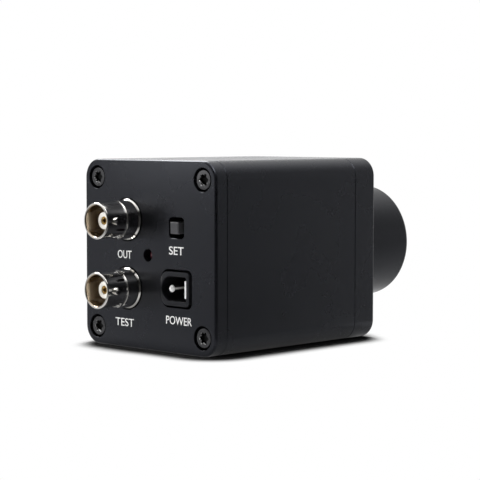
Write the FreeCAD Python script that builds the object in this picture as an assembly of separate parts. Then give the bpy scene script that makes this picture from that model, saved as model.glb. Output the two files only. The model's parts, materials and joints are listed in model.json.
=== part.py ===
import FreeCAD, Part
import math
import os

from FreeCAD import Vector

# Box camera with a square casing, a fixed lens and its ports on the rear cover. Millimetres.
# X runs to the right seen from behind, Y out of the lens, Z up.
# The origin is the mouth of the tripod thread, in the middle of the casing's floor.

# Casing
body_width = 50.0
body_height = 50.0
corner_radius = 5.0
wall = 2.5
inner_corner = 1.0
rear_cover_depth = 4.1
sleeve_length = 50.1
front_cover_depth = 8.3
front_wall = 3.5
edge_round = 0.7
seam_break = 0.15
screw_inset = 4.85
screw_boss_radius = 3.4

# Cover screws
screw_radius = 1.25
screw_head_radius = 2.55
screw_head_height = 2.1
screw_head_round = 0.35
screw_sink = 0.4
screw_reach = 6.0
screw_hole_play = 0.2
head_bore_play = 0.6
lobe_radius = 0.36
lobe_circle = 1.05
recess_depth = 1.1
thread_play = 0.02

# Tripod nut
tripod_thread_radius = 2.55
tripod_thread_depth = 6.0
nut_neck_radius = 4.5
nut_width = 14.0
nut_flange = 4.5
nut_roof = 1.0

# Boards and their pillars
board_thickness = 1.6
board_clearance = 0.8
board_stack_gap = 11.0
port_gap = 7.0
pillar_flats = 4.0
pillar_inset = 3.5
pillar_rise = 9.0
stud_radius = 1.0
stud_length = 2.4
stud_hole_spare = 0.4
board_hole_play = 0.12
board_screw_head_radius = 1.9
board_screw_head_height = 1.3
board_screw_reach = 4.0

# Coaxial jacks
bnc_x = -8.2
bnc_pitch = 18.2
bnc_projection = 11.0
bnc_barrel_radius = 4.8
bnc_bore_radius = 4.1
bnc_bore_depth = 8.6
bnc_rim_break = 0.3
bnc_lug_radius = 1.0
bnc_lug_reach = 5.55
bnc_lug_depth = 2.85
bnc_step_depth = 6.1
bnc_collar_step = 0.3
bnc_ring_radius = 5.45
bnc_ring_width = 0.5
bnc_hole_gap = 0.35
bnc_base_width = 12.0
bnc_base_gap = 0.3
bnc_base_round = 1.0
bnc_leg_radius = 0.5
bnc_leg_offset = 4.6
leg_tail = 1.2
leg_play = 0.1
insulator_depth = 2.8
insulator_nose_radius = 2.25
insulator_flange = 1.0
insulator_play = 0.05
insulator_body_radius = 2.55
contact_radius = 1.1
contact_bore_radius = 0.6
contact_socket_depth = 4.5
contact_sink = 0.15
contact_tail_radius = 0.55

# Power inlet
dc_pin_x = 8.85
dc_drop = 8.15
dc_proud = 0.55
dc_socket_radius = 3.2
dc_socket_reach = 5.85
dc_nose_wall = 0.45
dc_side_wall = 1.25
dc_end_wall = 1.05
dc_left_corner = 2.5
dc_right_corner = 1.1
dc_socket_corner = 0.6
dc_gap = 0.5
dc_floor = 2.0
dc_pin_radius = 1.0
dc_pin_sink = 0.05
dc_tail_radius = 0.7
dc_leaf_width = 4.5
dc_leaf_thickness = 0.6
dc_leaf_inset = 0.2
dc_leaf_sink = 0.3
dc_leaf_bow_angle = 9.0
dc_leaf_tail_width = 2.0

# Menu stick
stick_x = 10.65
stick_rise = 7.6
stem_width = 3.1
stem_round = 0.25
stem_proud = 0.85
stem_shank_width = 2.1
stem_foot_width = 2.7
stem_foot = 0.4
stick_tilt = 5.0
stick_travel = 0.25
stick_play = 0.05
stick_foot_gap = 0.35
stick_hole_clearance = 0.5
stick_hole_corner = 1.0
stick_case_width = 10.0
stick_case_wall = 0.9
stick_case_floor = 0.8
stick_cover_thickness = 0.3
stick_head_room = 0.3
swing_gap = 0.6
swing_frame_bar = 0.9
swing_frame_thickness = 1.4
rocker_gap = 0.5
rocker_thickness = 1.6
trunnion_radius = 0.45
trunnion_play = 0.04
trunnion_short = 0.1
dome_radius = 2.6
dome_height = 0.2
dome_rim = 0.25

# Status lamp
lamp_x = -0.2
lamp_radius = 1.5
lamp_length = 3.2
lamp_flange_radius = 1.9
lamp_flange = 1.0
lamp_panel_gap = 0.4
lamp_hole_play = 0.15
lamp_lead_width = 0.5
lamp_lead_pitch = 2.0
lamp_spacer_wall = 0.4

# Lens
lens_radius = 16.25
lens_length = 26.6
lens_front_round = 1.5
lens_mouth_radius = 13.4
lens_mouth_depth = 5.0
spigot_radius = 12.7
spigot_length = 5.5
spigot_break = 0.4
spigot_play = 0.05
spigot_boss_wall = 2.3
spigot_boss_length = 6.0
front_element_radius = 11.5
front_element_edge = 3.0
front_element_clear = 9.8
front_element_bulge = 1.6
front_element_hollow = -1.0
lens_web = 3.9
lens_play = 0.05
rear_element_radius = 8.5
rear_element_clear = 7.0
middle_element_edge = 3.0
middle_element_bulge = 1.0
rear_element_edge = 3.0
rear_element_bulge = 1.2
stop_thickness = 0.4
stop_radius = 4.0
ring_thickness = 2.0
rear_ring_sink = 0.3
ring_slot_width = 1.2
ring_slot_depth = 0.8

# Sensor, filter and board parts
flange_distance = 12.5
sensor_seat = 1.3
sensor_width = 12.0
sensor_height = 10.0
sensor_rim = 0.2
sensor_glass_margin = 0.7
sensor_glass_thickness = 0.7
filter_width = 12.2
filter_height = 10.2
filter_thickness = 0.55
filter_play = 0.1
filter_shelf = 0.6
filter_floor = 0.7
frame_height = 4.2
frame_wall = 1.6
frame_sensor_gap = 0.8
processor_width = 15.0
processor_height = 1.4
memory_width = 7.0
memory_length = 12.0
memory_height = 1.1
memory_x = 12.8
inductor_width = 6.0
inductor_height = 3.0
inductor_x = -12.8
chip_chamfer = 0.2
driver_width = 5.0
driver_height = 0.9
driver_x = 3.0
driver_rise = 8.0
link_x = 7.5
link_rise = 17.0
link_width = 14.0
link_depth = 5.0
link_plug_height = 3.0
link_wall = 0.9
link_tongue_length = 2.5
link_play = 0.1
flex_rise = 14.0
flex_width = 10.0
flex_thickness = 0.3
flex_bow_angle = 30.0
flex_socket_height = 2.6
flex_socket_wall = 0.8
flex_socket_floor = 0.6

AXIS_X = Vector(1, 0, 0)
AXIS_Y = Vector(0, 1, 0)
AXIS_Z = Vector(0, 0, 1)
TOUCH = 1e-6

# Planes across the casing, from the rear to the tip of the lens
half_depth = (rear_cover_depth + sleeve_length + front_cover_depth) / 2
y_rear = -half_depth
y_sleeve_rear = y_rear + rear_cover_depth
y_sleeve_front = y_sleeve_rear + sleeve_length
y_front = y_sleeve_front + front_cover_depth
y_front_inside = y_front - front_wall
y_port = y_sleeve_rear + port_gap
y_port_front = y_port + board_thickness
y_main_rear = y_port_front + board_stack_gap
y_main_front = y_main_rear + board_thickness
y_focus = y_front - flange_distance
y_sensor_front = y_focus - sensor_seat
y_sensor_rear = y_sensor_front - board_thickness

# Places in the section of the casing
z_axis = body_height / 2
inner_width = body_width - 2 * wall
inner_height = body_height - 2 * wall
screw_x = body_width / 2 - screw_inset
screw_z = body_height / 2 - screw_inset
screw_axes = [(sx * screw_x, z_axis + sz * screw_z) for sx in (-1, 1) for sz in (-1, 1)]
pillar_x = inner_width / 2 - pillar_inset
pillar_axes = [(sx * pillar_x, z_axis + sz * pillar_rise) for sx in (-1, 1) for sz in (-1, 1)]
port_pillar_axes = [(sx * pillar_x, z_axis) for sx in (-1, 1)]
bnc_axes = {"upper": z_axis + bnc_pitch / 2, "lower": z_axis - bnc_pitch / 2}
dc_z = z_axis - dc_drop
stick_z = z_axis + stick_rise
flex_z = z_axis + flex_rise
link_z = z_axis + link_rise


# Shared shapes

def edges_along(solid, direction):
    """Straight edges of a solid that run along a direction."""
    straight = [e for e in solid.Edges if e.Curve.TypeId == "Part::GeomLine"]
    return [e for e in straight if abs(e.tangentAt(e.FirstParameter).dot(direction)) > 0.999]


def edges_at(solid, y):
    """Edges of a solid that lie in the plane at y."""
    return [e for e in solid.Edges if all(abs(v.Y - y) < TOUCH for v in e.Vertexes)]


def bar(width, height, y0, y1, x=0.0, z=0.0, radius=0.0):
    """Bar along Y with a rectangular section, its long edges rounded."""
    solid = Part.makeBox(width, y1 - y0, height, Vector(x - width / 2, y0, z - height / 2))
    return solid.makeFillet(radius, edges_along(solid, AXIS_Y)) if radius > 0 else solid


def rod(radius, ya, yb, x=0.0, z=0.0):
    """Round rod along Y between two planes, in either order."""
    return Part.makeCylinder(radius, abs(yb - ya), Vector(x, min(ya, yb), z), AXIS_Y)


def nosed_rod(radius, y_tip, y_end, x, z):
    """Round rod along Y whose end towards the rear is a half ball."""
    ball = Part.makeSphere(radius, Vector(x, y_tip + radius, z))
    return rod(radius, y_tip + radius, y_end, x, z).fuse(ball).removeSplitter()


def turned(outline, x=0.0, z=0.0):
    """Solid turned about a line along Y, from a closed outline of (radius, y) points."""
    points = [Vector(x + r, y, z) for r, y in outline]
    face = Part.Face(Part.makePolygon(points + points[:1]))
    return face.revolve(Vector(x, 0, z), AXIS_Y, 360)


def hex_bar(flats, ya, yb, x, z):
    """Hexagonal bar along Y, with flats facing up and down."""
    corner = flats / math.sqrt(3)
    angles = [math.radians(60 * i) for i in range(7)]
    outline = [Vector(x + corner * math.cos(a), min(ya, yb), z + corner * math.sin(a)) for a in angles]
    return Part.Face(Part.makePolygon(outline)).extrude(AXIS_Y * abs(yb - ya))


def fused(solids):
    """One solid from several that meet."""
    return solids[0].multiFuse(solids[1:]).removeSplitter()


def drilled(solid, cutters):
    """Solid with every cutter taken out of it."""
    return solid.cut(Part.makeCompound(cutters)) if cutters else solid


def bowed_strip(length, bow, thickness, place, depth):
    """Strip that bows out and back in three tangent arcs, its ends in line.

    place turns a distance along the strip and a distance out of it into a point, and depth is the
    vector that the strip's section is drawn out along.
    """
    turn = math.radians(bow)
    radius = length / (4 * math.sin(turn))
    spans = [
        (0.0, radius, 1, (0.0, turn / 2, turn)),
        (2 * radius * math.sin(turn), radius * (1 - 2 * math.cos(turn)), -1, (turn, 0.0, -turn)),
        (length, radius, 1, (-turn, -turn / 2, 0.0)),
    ]
    sides = []
    for side in (thickness / 2, -thickness / 2):
        arcs = []
        for along, out, sense, headings in spans:
            reach = side - sense * radius
            arcs.append([place(along - reach * math.sin(h), out + reach * math.cos(h)) for h in headings])
        sides.append(arcs)
    near, far = sides
    edges = [Part.Arc(*arc).toShape() for arc in near + far]
    edges.append(Part.makeLine(near[0][0], far[0][0]))
    edges.append(Part.makeLine(near[-1][-1], far[-1][-1]))
    outline = Part.Wire(Part.__sortEdges__(edges))
    return Part.Face(outline).extrude(depth)


# Casing

def cover_blank(y0, y1, y_outside):
    """Square cover with round corners: its outer rim rounded and its seam edge broken."""
    blank = bar(body_width, body_height, y0, y1, 0.0, z_axis, corner_radius)
    blank = blank.makeFillet(edge_round, edges_at(blank, y_outside))
    return blank.makeChamfer(seam_break, edges_at(blank, y0 if y_outside == y1 else y1))


def hollow(y0, y1):
    """Space inside the casing, with the corner screw bosses left standing."""
    space = bar(inner_width, inner_height, y0, y1, 0.0, z_axis, inner_corner)
    return drilled(space, [rod(screw_boss_radius, y0, y1, x, z) for x, z in screw_axes])


def head_cuts(y_outside, y_inside):
    """Counterbores and clearance holes for the four screws of a cover."""
    inward = 1 if y_inside > y_outside else -1
    y_seat = y_outside + inward * (screw_sink + screw_head_height)
    bores = [rod(screw_head_radius + head_bore_play, y_outside, y_seat, x, z) for x, z in screw_axes]
    holes = [rod(screw_radius + screw_hole_play, y_seat, y_inside, x, z) for x, z in screw_axes]
    return bores + holes


def stud_holes(y_face, inward, axes):
    """Blind holes in a cover's inner face for pillar studs."""
    depth = inward * (stud_length + stud_hole_spare)
    return [rod(stud_radius + thread_play, y_face, y_face + depth, x, z) for x, z in axes]


def make_body_sleeve():
    """Extruded square tube with a screw channel in each corner and a hole for the tripod nut."""
    sleeve = bar(body_width, body_height, y_sleeve_rear, y_sleeve_front, 0.0, z_axis, corner_radius)
    ends = edges_at(sleeve, y_sleeve_rear) + edges_at(sleeve, y_sleeve_front)
    sleeve = sleeve.makeChamfer(seam_break, ends).cut(hollow(y_sleeve_rear, y_sleeve_front))
    channels = [rod(screw_radius + thread_play, y_sleeve_rear, y_sleeve_front, x, z) for x, z in screw_axes]
    neck = Part.makeCylinder(nut_neck_radius + thread_play, wall)
    return drilled(sleeve, channels + [neck])


def make_tripod_nut():
    """Flanged nut pressed into the floor from inside, with a blind thread in its neck."""
    neck = Part.makeCylinder(nut_neck_radius, wall)
    height = max(nut_flange, tripod_thread_depth + nut_roof - wall)
    flange = Part.makeBox(nut_width, nut_width, height, Vector(-nut_width / 2, -nut_width / 2, wall))
    flange = flange.makeFillet(inner_corner, edges_along(flange, AXIS_Z))
    thread = Part.makeCylinder(tripod_thread_radius, tripod_thread_depth)
    return fused([flange, neck]).cut(thread)


def dc_section(y0, y1, spare):
    """Bar with the power inlet's outline, rounder on the left, grown by spare all round."""
    left = dc_pin_x - dc_socket_radius - dc_nose_wall - spare
    right = dc_pin_x + dc_socket_reach + dc_end_wall + spare
    half_height = dc_socket_radius + dc_side_wall + spare
    block = bar(right - left, 2 * half_height, y0, y1, (left + right) / 2, dc_z)
    block = block.makeFillet(dc_left_corner + spare, edges_beside(block, left))
    return block.makeFillet(dc_right_corner + spare, edges_beside(block, right))


def edges_beside(solid, x):
    """Edges along Y that lie on the plane at x."""
    return [edge for edge in edges_along(solid, AXIS_Y) if abs(edge.CenterOfMass.x - x) < TOUCH]


def socket_bar(left, right, half_height, y0, y1):
    """Bar along Y with a D section: flat on the right, half round on the left."""
    top, bottom = dc_z + half_height, dc_z - half_height
    high, low = Vector(left + half_height, y0, top), Vector(left + half_height, y0, bottom)
    far_high, far_low = Vector(right, y0, top), Vector(right, y0, bottom)
    edges = [
        Part.Arc(high, Vector(left, y0, dc_z), low).toShape(),
        Part.makeLine(low, far_low),
        Part.makeLine(far_low, far_high),
        Part.makeLine(far_high, high),
    ]
    solid = Part.Face(Part.Wire(edges)).extrude(AXIS_Y * (y1 - y0))
    return solid.makeFillet(dc_socket_corner, edges_beside(solid, right))


def stick_hole_width(lever):
    """Width of a square hole that lets the stem swing, a lever's length from its pivot."""
    return stem_width + 2 * (lever * math.tan(math.radians(stick_tilt)) + stick_hole_clearance)


def make_rear_cover():
    """Flat rear cover with the screw counterbores and an opening for every port."""
    cover = cover_blank(y_rear, y_sleeve_rear, y_rear)
    stick_hole = stick_hole_width(y_pivot - y_rear)
    openings = [
        dc_section(y_rear, y_sleeve_rear, dc_gap),
        bar(stick_hole, stick_hole, y_rear, y_sleeve_rear, stick_x, stick_z, stick_hole_corner),
        rod(lamp_radius + lamp_hole_play, y_rear, y_sleeve_rear, lamp_x, z_axis),
    ]
    for z in bnc_axes.values():
        openings.append(rod(bnc_ring_radius + bnc_hole_gap, y_rear, y_sleeve_rear, bnc_x, z))
    studs = stud_holes(y_sleeve_rear, -1, port_pillar_axes)
    return drilled(cover, head_cuts(y_rear, y_sleeve_rear) + openings + studs)


def make_front_cover():
    """Deep front cover, hollow behind its face, with a bossed bore for the lens."""
    cover = cover_blank(y_sleeve_front, y_front, y_front)
    boss_radius = spigot_radius + spigot_play + spigot_boss_wall
    y_boss = y_front - max(spigot_boss_length, front_wall)
    boss = rod(boss_radius, y_boss, y_front_inside, 0.0, z_axis)
    cover = cover.cut(hollow(y_sleeve_front, y_front_inside).cut(boss))
    bore = rod(spigot_radius + spigot_play, y_boss, y_front, 0.0, z_axis)
    studs = stud_holes(y_front_inside, 1, pillar_axes)
    return drilled(cover, head_cuts(y_front, y_sleeve_front) + [bore] + studs)


def six_lobe(y0, y1, x, z):
    """Cutter for a six-lobe driver recess."""
    core = rod(lobe_circle, y0, y1, x, z)
    lobes = []
    for i in range(6):
        angle = math.radians(60 * i)
        reach = lobe_circle
        lobes.append(rod(lobe_radius, y0, y1, x + reach * math.cos(angle), z + reach * math.sin(angle)))
    return fused([core] + lobes)


def cover_screw(y_outside, y_seam, x, z):
    """Pan-head screw from a cover's outside into the sleeve's corner channel."""
    inward = 1 if y_seam > y_outside else -1
    y_top = y_outside + inward * screw_sink
    y_seat = y_top + inward * screw_head_height
    head = rod(screw_head_radius, y_top, y_seat, x, z)
    head = head.makeFillet(screw_head_round, edges_at(head, y_top))
    y_bottom = y_top + inward * recess_depth
    head = head.cut(six_lobe(min(y_top, y_bottom), max(y_top, y_bottom), x, z))
    return fused([head, rod(screw_radius, y_seat, y_seam + inward * screw_reach, x, z)])


def make_cover_screws(y_outside, y_seam):
    """The four screws of a cover."""
    return Part.makeCompound([cover_screw(y_outside, y_seam, x, z) for x, z in screw_axes])


# Boards, pillars and board screws

def board_blank(y0, y1, axes):
    """Board that fills the section, cut back round the corner bosses and drilled for its pillars."""
    margin = 2 * board_clearance
    board = bar(inner_width - margin, inner_height - margin, y0, y1, 0.0, z_axis, inner_corner)
    notches = [rod(screw_boss_radius + board_clearance, y0, y1, x, z) for x, z in screw_axes]
    holes = [rod(stud_radius + board_hole_play, y0, y1, x, z) for x, z in axes]
    return drilled(board, notches + holes)


def pillar(y_seat, y_board, stud, socket, x, z):
    """Hexagonal pillar: a stud beyond its seat and a threaded socket in its other end."""
    outward = 1 if y_seat > y_board else -1
    body = hex_bar(pillar_flats, y_seat, y_board, x, z)
    pin = rod(stud_radius, y_seat, y_seat + outward * stud, x, z)
    return fused([body, pin]).cut(rod(stud_radius + thread_play, y_board, y_board + outward * socket, x, z))


def board_screw(y_face, inward, x, z):
    """Pan-head screw through a board into the pillar behind it."""
    head = rod(board_screw_head_radius, y_face, y_face - inward * board_screw_head_height, x, z)
    shank = rod(stud_radius, y_face, y_face + inward * (board_thickness + board_screw_reach), x, z)
    return fused([head, shank])


def make_front_pillars():
    """Pillars that carry the sensor board on the front cover."""
    socket = stud_length + stud_hole_spare
    return Part.makeCompound(
        [pillar(y_front_inside, y_sensor_front, stud_length, socket, x, z) for x, z in pillar_axes]
    )


def make_middle_pillars():
    """Pillars between the sensor board and the main board, screwed into the front ones."""
    stud = board_thickness + stud_length
    socket = board_screw_reach + stud_hole_spare
    return Part.makeCompound(
        [pillar(y_sensor_rear, y_main_front, stud, socket, x, z) for x, z in pillar_axes]
    )


def make_port_pillars():
    """Pillars that carry the port board on the rear cover."""
    socket = board_screw_reach + stud_hole_spare
    return Part.makeCompound(
        [pillar(y_sleeve_rear, y_port, stud_length, socket, x, z) for x, z in port_pillar_axes]
    )


def make_main_board_screws():
    """Screws that hold the main board to the middle pillars."""
    return Part.makeCompound([board_screw(y_main_rear, 1, x, z) for x, z in pillar_axes])


def make_port_board_screws():
    """Screws that hold the port board to its pillars."""
    return Part.makeCompound([board_screw(y_port_front, -1, x, z) for x, z in port_pillar_axes])


def make_sensor_board():
    """Board behind the lens."""
    return board_blank(y_sensor_rear, y_sensor_front, pillar_axes)


def make_main_board():
    """Processing board, notched over the tripod nut."""
    board = board_blank(y_main_rear, y_main_front, pillar_axes)
    nut_top = wall + max(nut_flange, tripod_thread_depth + nut_roof - wall) + board_clearance
    return board.cut(bar(nut_width + 2 * board_clearance, 2 * nut_top, y_main_rear, y_main_front))


def make_port_board():
    """Board behind the rear cover, drilled for the legs of everything soldered to it."""
    board = board_blank(y_port, y_port_front, port_pillar_axes)
    cuts = []
    for z in bnc_axes.values():
        cuts.append(rod(contact_tail_radius + leg_play, y_port, y_port_front, bnc_x, z))
        for x, leg_z in bnc_legs(z):
            cuts.append(rod(bnc_leg_radius + leg_play, y_port, y_port_front, x, leg_z))
    cuts.append(rod(dc_tail_radius + leg_play, y_port, y_port_front, dc_pin_x, dc_z))
    leaf_width = dc_leaf_thickness + 2 * leg_play
    leaf_height = dc_leaf_tail_width + 2 * leg_play
    cuts.append(bar(leaf_width, leaf_height, y_port, y_port_front, dc_leaf_x, dc_z))
    lead = lamp_lead_width + 2 * leg_play
    for x in lamp_lead_places:
        cuts.append(bar(lead, lead, y_port, y_port_front, x, z_axis))
    return drilled(board, cuts)


def chip(width, height, rise, y_face, outward, x, z):
    """Square-edged package standing on a board's face, its far edges bevelled."""
    y_far = y_face + outward * rise
    block = bar(width, height, min(y_face, y_far), max(y_face, y_far), x, z)
    return block.makeChamfer(chip_chamfer, edges_at(block, y_far))


# Coaxial jacks

y_bnc_rim = y_rear - bnc_projection
y_bnc_floor = y_bnc_rim + bnc_bore_depth


def bnc_legs(z):
    """Places of a jack's four solder legs."""
    return [(bnc_x + sx * bnc_leg_offset, z + sz * bnc_leg_offset) for sx in (-1, 1) for sz in (-1, 1)]


def make_bnc_shell(z):
    """Plated shell: bayonet barrel with two lugs, coned collar, square base and four legs."""
    y_step = y_bnc_rim + bnc_step_depth
    y_ring = y_rear - bnc_ring_width
    collar_radius = bnc_barrel_radius + bnc_collar_step
    outline = [
        (insulator_body_radius + insulator_play, y_bnc_floor),
        (bnc_bore_radius, y_bnc_floor),
        (bnc_bore_radius, y_bnc_rim + bnc_rim_break),
        (bnc_bore_radius + bnc_rim_break, y_bnc_rim),
        (bnc_barrel_radius - bnc_rim_break / 2, y_bnc_rim),
        (bnc_barrel_radius, y_bnc_rim + bnc_rim_break / 2),
        (bnc_barrel_radius, y_step),
        (collar_radius, y_step + bnc_collar_step),
        (collar_radius, y_ring),
        (bnc_ring_radius, y_ring),
        (bnc_ring_radius, y_port),
        (insulator_body_radius + insulator_play, y_port),
    ]
    shell = turned(outline, bnc_x, z)
    y_base = y_sleeve_rear + bnc_base_gap
    base = bar(bnc_base_width, bnc_base_width, y_base, y_port, bnc_x, z, bnc_base_round)
    base = base.cut(rod(collar_radius, y_base, y_port, bnc_x, z))
    y_lug = y_bnc_rim + bnc_lug_depth
    lug = Part.makeCylinder(
        bnc_lug_radius, 2 * bnc_lug_reach, Vector(bnc_x - bnc_lug_reach, y_lug, z), AXIS_X
    )
    lugs = lug.cut(rod((bnc_bore_radius + bnc_barrel_radius) / 2, y_bnc_rim, y_step, bnc_x, z))
    y_tail = y_port_front + leg_tail
    legs = [rod(bnc_leg_radius, y_port, y_tail, x, leg_z) for x, leg_z in bnc_legs(z)]
    return fused([shell, base] + lugs.Solids + legs)


def make_bnc_insulator(z):
    """White insulator: a nose round the contact, on a flange that sits on the shell's floor."""
    y_face = y_bnc_rim + insulator_depth
    y_socket = y_face + contact_socket_depth + contact_sink
    outline = [
        (contact_radius + insulator_play, y_face),
        (insulator_nose_radius, y_face),
        (insulator_nose_radius, y_bnc_floor - insulator_flange),
        (bnc_bore_radius - insulator_play, y_bnc_floor - insulator_flange),
        (bnc_bore_radius - insulator_play, y_bnc_floor),
        (insulator_body_radius, y_bnc_floor),
        (insulator_body_radius, y_port),
        (contact_tail_radius + insulator_play, y_port),
        (contact_tail_radius + insulator_play, y_socket),
        (contact_radius + insulator_play, y_socket),
    ]
    return turned(outline, bnc_x, z)


def make_bnc_contact(z):
    """Gilt centre contact: a split-free socket in front and a solder tail behind."""
    y_face = y_bnc_rim + insulator_depth + contact_sink
    y_socket = y_face + contact_socket_depth
    y_tail = y_port_front + leg_tail
    socket = rod(contact_radius, y_face, y_socket, bnc_x, z)
    socket = socket.cut(rod(contact_bore_radius, y_face, y_socket - contact_bore_radius, bnc_x, z))
    return fused([socket, rod(contact_tail_radius, y_socket, y_tail, bnc_x, z)])


# Power inlet

y_dc_face = y_rear - dc_proud
y_dc_floor = y_port - dc_floor
dc_leaf_x = dc_pin_x + dc_socket_reach - dc_leaf_inset - dc_leaf_thickness / 2


def make_dc_housing():
    """Moulded housing with a D-shaped socket and holes for its two contacts."""
    housing = dc_section(y_dc_face, y_port, 0.0)
    left = dc_pin_x - dc_socket_radius
    right = dc_pin_x + dc_socket_reach
    socket = socket_bar(left, right, dc_socket_radius, y_dc_face, y_dc_floor)
    pin_hole = rod(dc_tail_radius + thread_play, y_dc_floor, y_port, dc_pin_x, dc_z)
    leaf_slot = bar(
        dc_leaf_thickness + 2 * thread_play,
        dc_leaf_tail_width + 2 * thread_play,
        y_dc_floor,
        y_port,
        dc_leaf_x,
        dc_z,
    )
    return drilled(housing, [socket, pin_hole, leaf_slot])


def make_dc_pin():
    """Round-nosed centre pin, shouldered on the socket's floor, with a solder tail."""
    pin = nosed_rod(dc_pin_radius, y_dc_face + dc_pin_sink, y_dc_floor, dc_pin_x, dc_z)
    return fused([pin, rod(dc_tail_radius, y_dc_floor, y_port_front + leg_tail, dc_pin_x, dc_z)])


def make_dc_leaf():
    """Sprung leaf contact, bowed towards the pin, with a narrower solder tail."""
    y_end = y_dc_face + dc_leaf_sink

    def place(along, out):
        return Vector(dc_leaf_x - out, y_end + along, dc_z - dc_leaf_width / 2)

    length = y_dc_floor - y_end
    leaf = bowed_strip(length, dc_leaf_bow_angle, dc_leaf_thickness, place, AXIS_Z * dc_leaf_width)
    tail = bar(dc_leaf_thickness, dc_leaf_tail_width, y_dc_floor, y_port_front + leg_tail, dc_leaf_x, dc_z)
    return fused([leaf, tail])


# Menu stick: a frame that swings left and right, a rocker in it that nods, and a stem that presses

rocker_half = rocker_thickness / 2
swing_frame_width = stick_case_width - 2 * (stick_case_wall + swing_gap)
swing_opening = swing_frame_width - 2 * swing_frame_bar
rocker_width = swing_opening - 2 * rocker_gap
stick_floor_gap = dome_rim + dome_height + stick_foot_gap + stick_travel + stem_foot + stick_play
stick_swing = swing_frame_width / 2 * math.sin(math.radians(stick_tilt))
y_stick_floor = y_port - stick_case_floor
y_pivot = y_stick_floor - stick_floor_gap - rocker_half
y_stick_top = y_pivot - rocker_half - stick_swing - stick_head_room


def make_stick_base():
    """Open moulded case, with a bearing hole for the swing frame in its top and bottom walls."""
    case = bar(stick_case_width, stick_case_width, y_stick_top, y_port, stick_x, stick_z)
    inside = stick_case_width - 2 * stick_case_wall
    room = bar(inside, inside, y_stick_top, y_stick_floor, stick_x, stick_z)
    bearing = Part.makeCylinder(
        trunnion_radius + trunnion_play,
        stick_case_width,
        Vector(stick_x, y_pivot, stick_z - stick_case_width / 2),
        AXIS_Z,
    )
    return drilled(case, [room, bearing])


def make_stick_cover():
    """Sheet cover on the case, with a square hole for the stem."""
    y_outside = y_stick_top - stick_cover_thickness
    cover = bar(stick_case_width, stick_case_width, y_outside, y_stick_top, stick_x, stick_z)
    hole = stick_hole_width(y_pivot - y_outside)
    return cover.cut(bar(hole, hole, y_outside, y_stick_top, stick_x, stick_z, stem_round))


def make_stick_dome():
    """Contact dome on the floor of the case, under the stem: a low ball face on a round seat."""
    y_rim = y_stick_floor - dome_rim
    y_top = y_rim - dome_height
    ball_radius = (dome_radius ** 2 + dome_height ** 2) / (2 * dome_height)
    ball = Part.makeSphere(ball_radius, Vector(stick_x, y_top + ball_radius, stick_z))
    cap = ball.common(rod(dome_radius, y_top, y_rim, stick_x, stick_z))
    seat = rod(dome_radius, y_rim, y_stick_floor, stick_x, stick_z)
    return fused([cap, seat])


def make_swing_frame():
    """Square ring with a trunnion above and below, and bearing holes for the rocker."""
    half = swing_frame_thickness / 2
    ring = bar(swing_frame_width, swing_frame_width, y_pivot - half, y_pivot + half, stick_x, stick_z)
    opening = bar(swing_opening, swing_opening, y_pivot - half, y_pivot + half, stick_x, stick_z)
    reach = stick_case_width / 2 - trunnion_short
    trunnions = Part.makeCylinder(
        trunnion_radius, 2 * reach, Vector(stick_x, y_pivot, stick_z - reach), AXIS_Z
    )
    bearing = Part.makeCylinder(
        trunnion_radius + trunnion_play,
        swing_frame_width,
        Vector(stick_x - swing_frame_width / 2, y_pivot, stick_z),
        AXIS_X,
    )
    return drilled(fused([ring, trunnions]), [opening, bearing])


def make_rocker():
    """Block with a trunnion at each side and a square hole that guides the stem."""
    block = bar(rocker_width, rocker_width, y_pivot - rocker_half, y_pivot + rocker_half, stick_x, stick_z)
    reach = swing_frame_width / 2 - trunnion_short
    trunnions = Part.makeCylinder(
        trunnion_radius, 2 * reach, Vector(stick_x - reach, y_pivot, stick_z), AXIS_X
    )
    guide_width = stem_shank_width + 2 * stick_play
    guide = bar(
        guide_width, guide_width, y_pivot - rocker_half, y_pivot + rocker_half, stick_x, stick_z
    )
    return fused([block, trunnions]).cut(guide)


def make_stem():
    """Square stem: the end that shows, a slimmer shank through the rocker, and a foot behind it."""
    y_tip = y_rear - stem_proud
    y_shoulder = y_pivot - rocker_half - stick_travel - stick_play
    y_foot = y_pivot + rocker_half + stick_play
    head = bar(stem_width, stem_width, y_tip, y_shoulder, stick_x, stick_z, stem_round)
    head = head.makeFillet(stem_round, edges_at(head, y_tip))
    shank = bar(stem_shank_width, stem_shank_width, y_shoulder, y_foot, stick_x, stick_z)
    foot = bar(stem_foot_width, stem_foot_width, y_foot, y_foot + stem_foot, stick_x, stick_z)
    return fused([head, shank, foot])


# Status lamp

y_lamp_flange = y_sleeve_rear + lamp_panel_gap
y_lamp_seat = y_lamp_flange + lamp_flange
lamp_lead_places = [lamp_x + s * lamp_lead_pitch / 2 for s in (-1, 1)]


def make_status_lamp():
    """Round-nosed lamp with a flange and two leads."""
    body = nosed_rod(lamp_radius, y_lamp_flange - lamp_length, y_lamp_seat, lamp_x, z_axis)
    flange = rod(lamp_flange_radius, y_lamp_flange, y_lamp_seat, lamp_x, z_axis)
    y_tail = y_port_front + leg_tail
    leads = [bar(lamp_lead_width, lamp_lead_width, y_lamp_seat, y_tail, x, z_axis) for x in lamp_lead_places]
    return fused([body, flange] + leads)


def make_lamp_spacer():
    """Tube round the lamp's leads, between its flange and the port board."""
    tube = rod(lamp_flange_radius, y_lamp_seat, y_port, lamp_x, z_axis)
    return tube.cut(rod(lamp_flange_radius - lamp_spacer_wall, y_lamp_seat, y_port, lamp_x, z_axis))


# Lens

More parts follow.
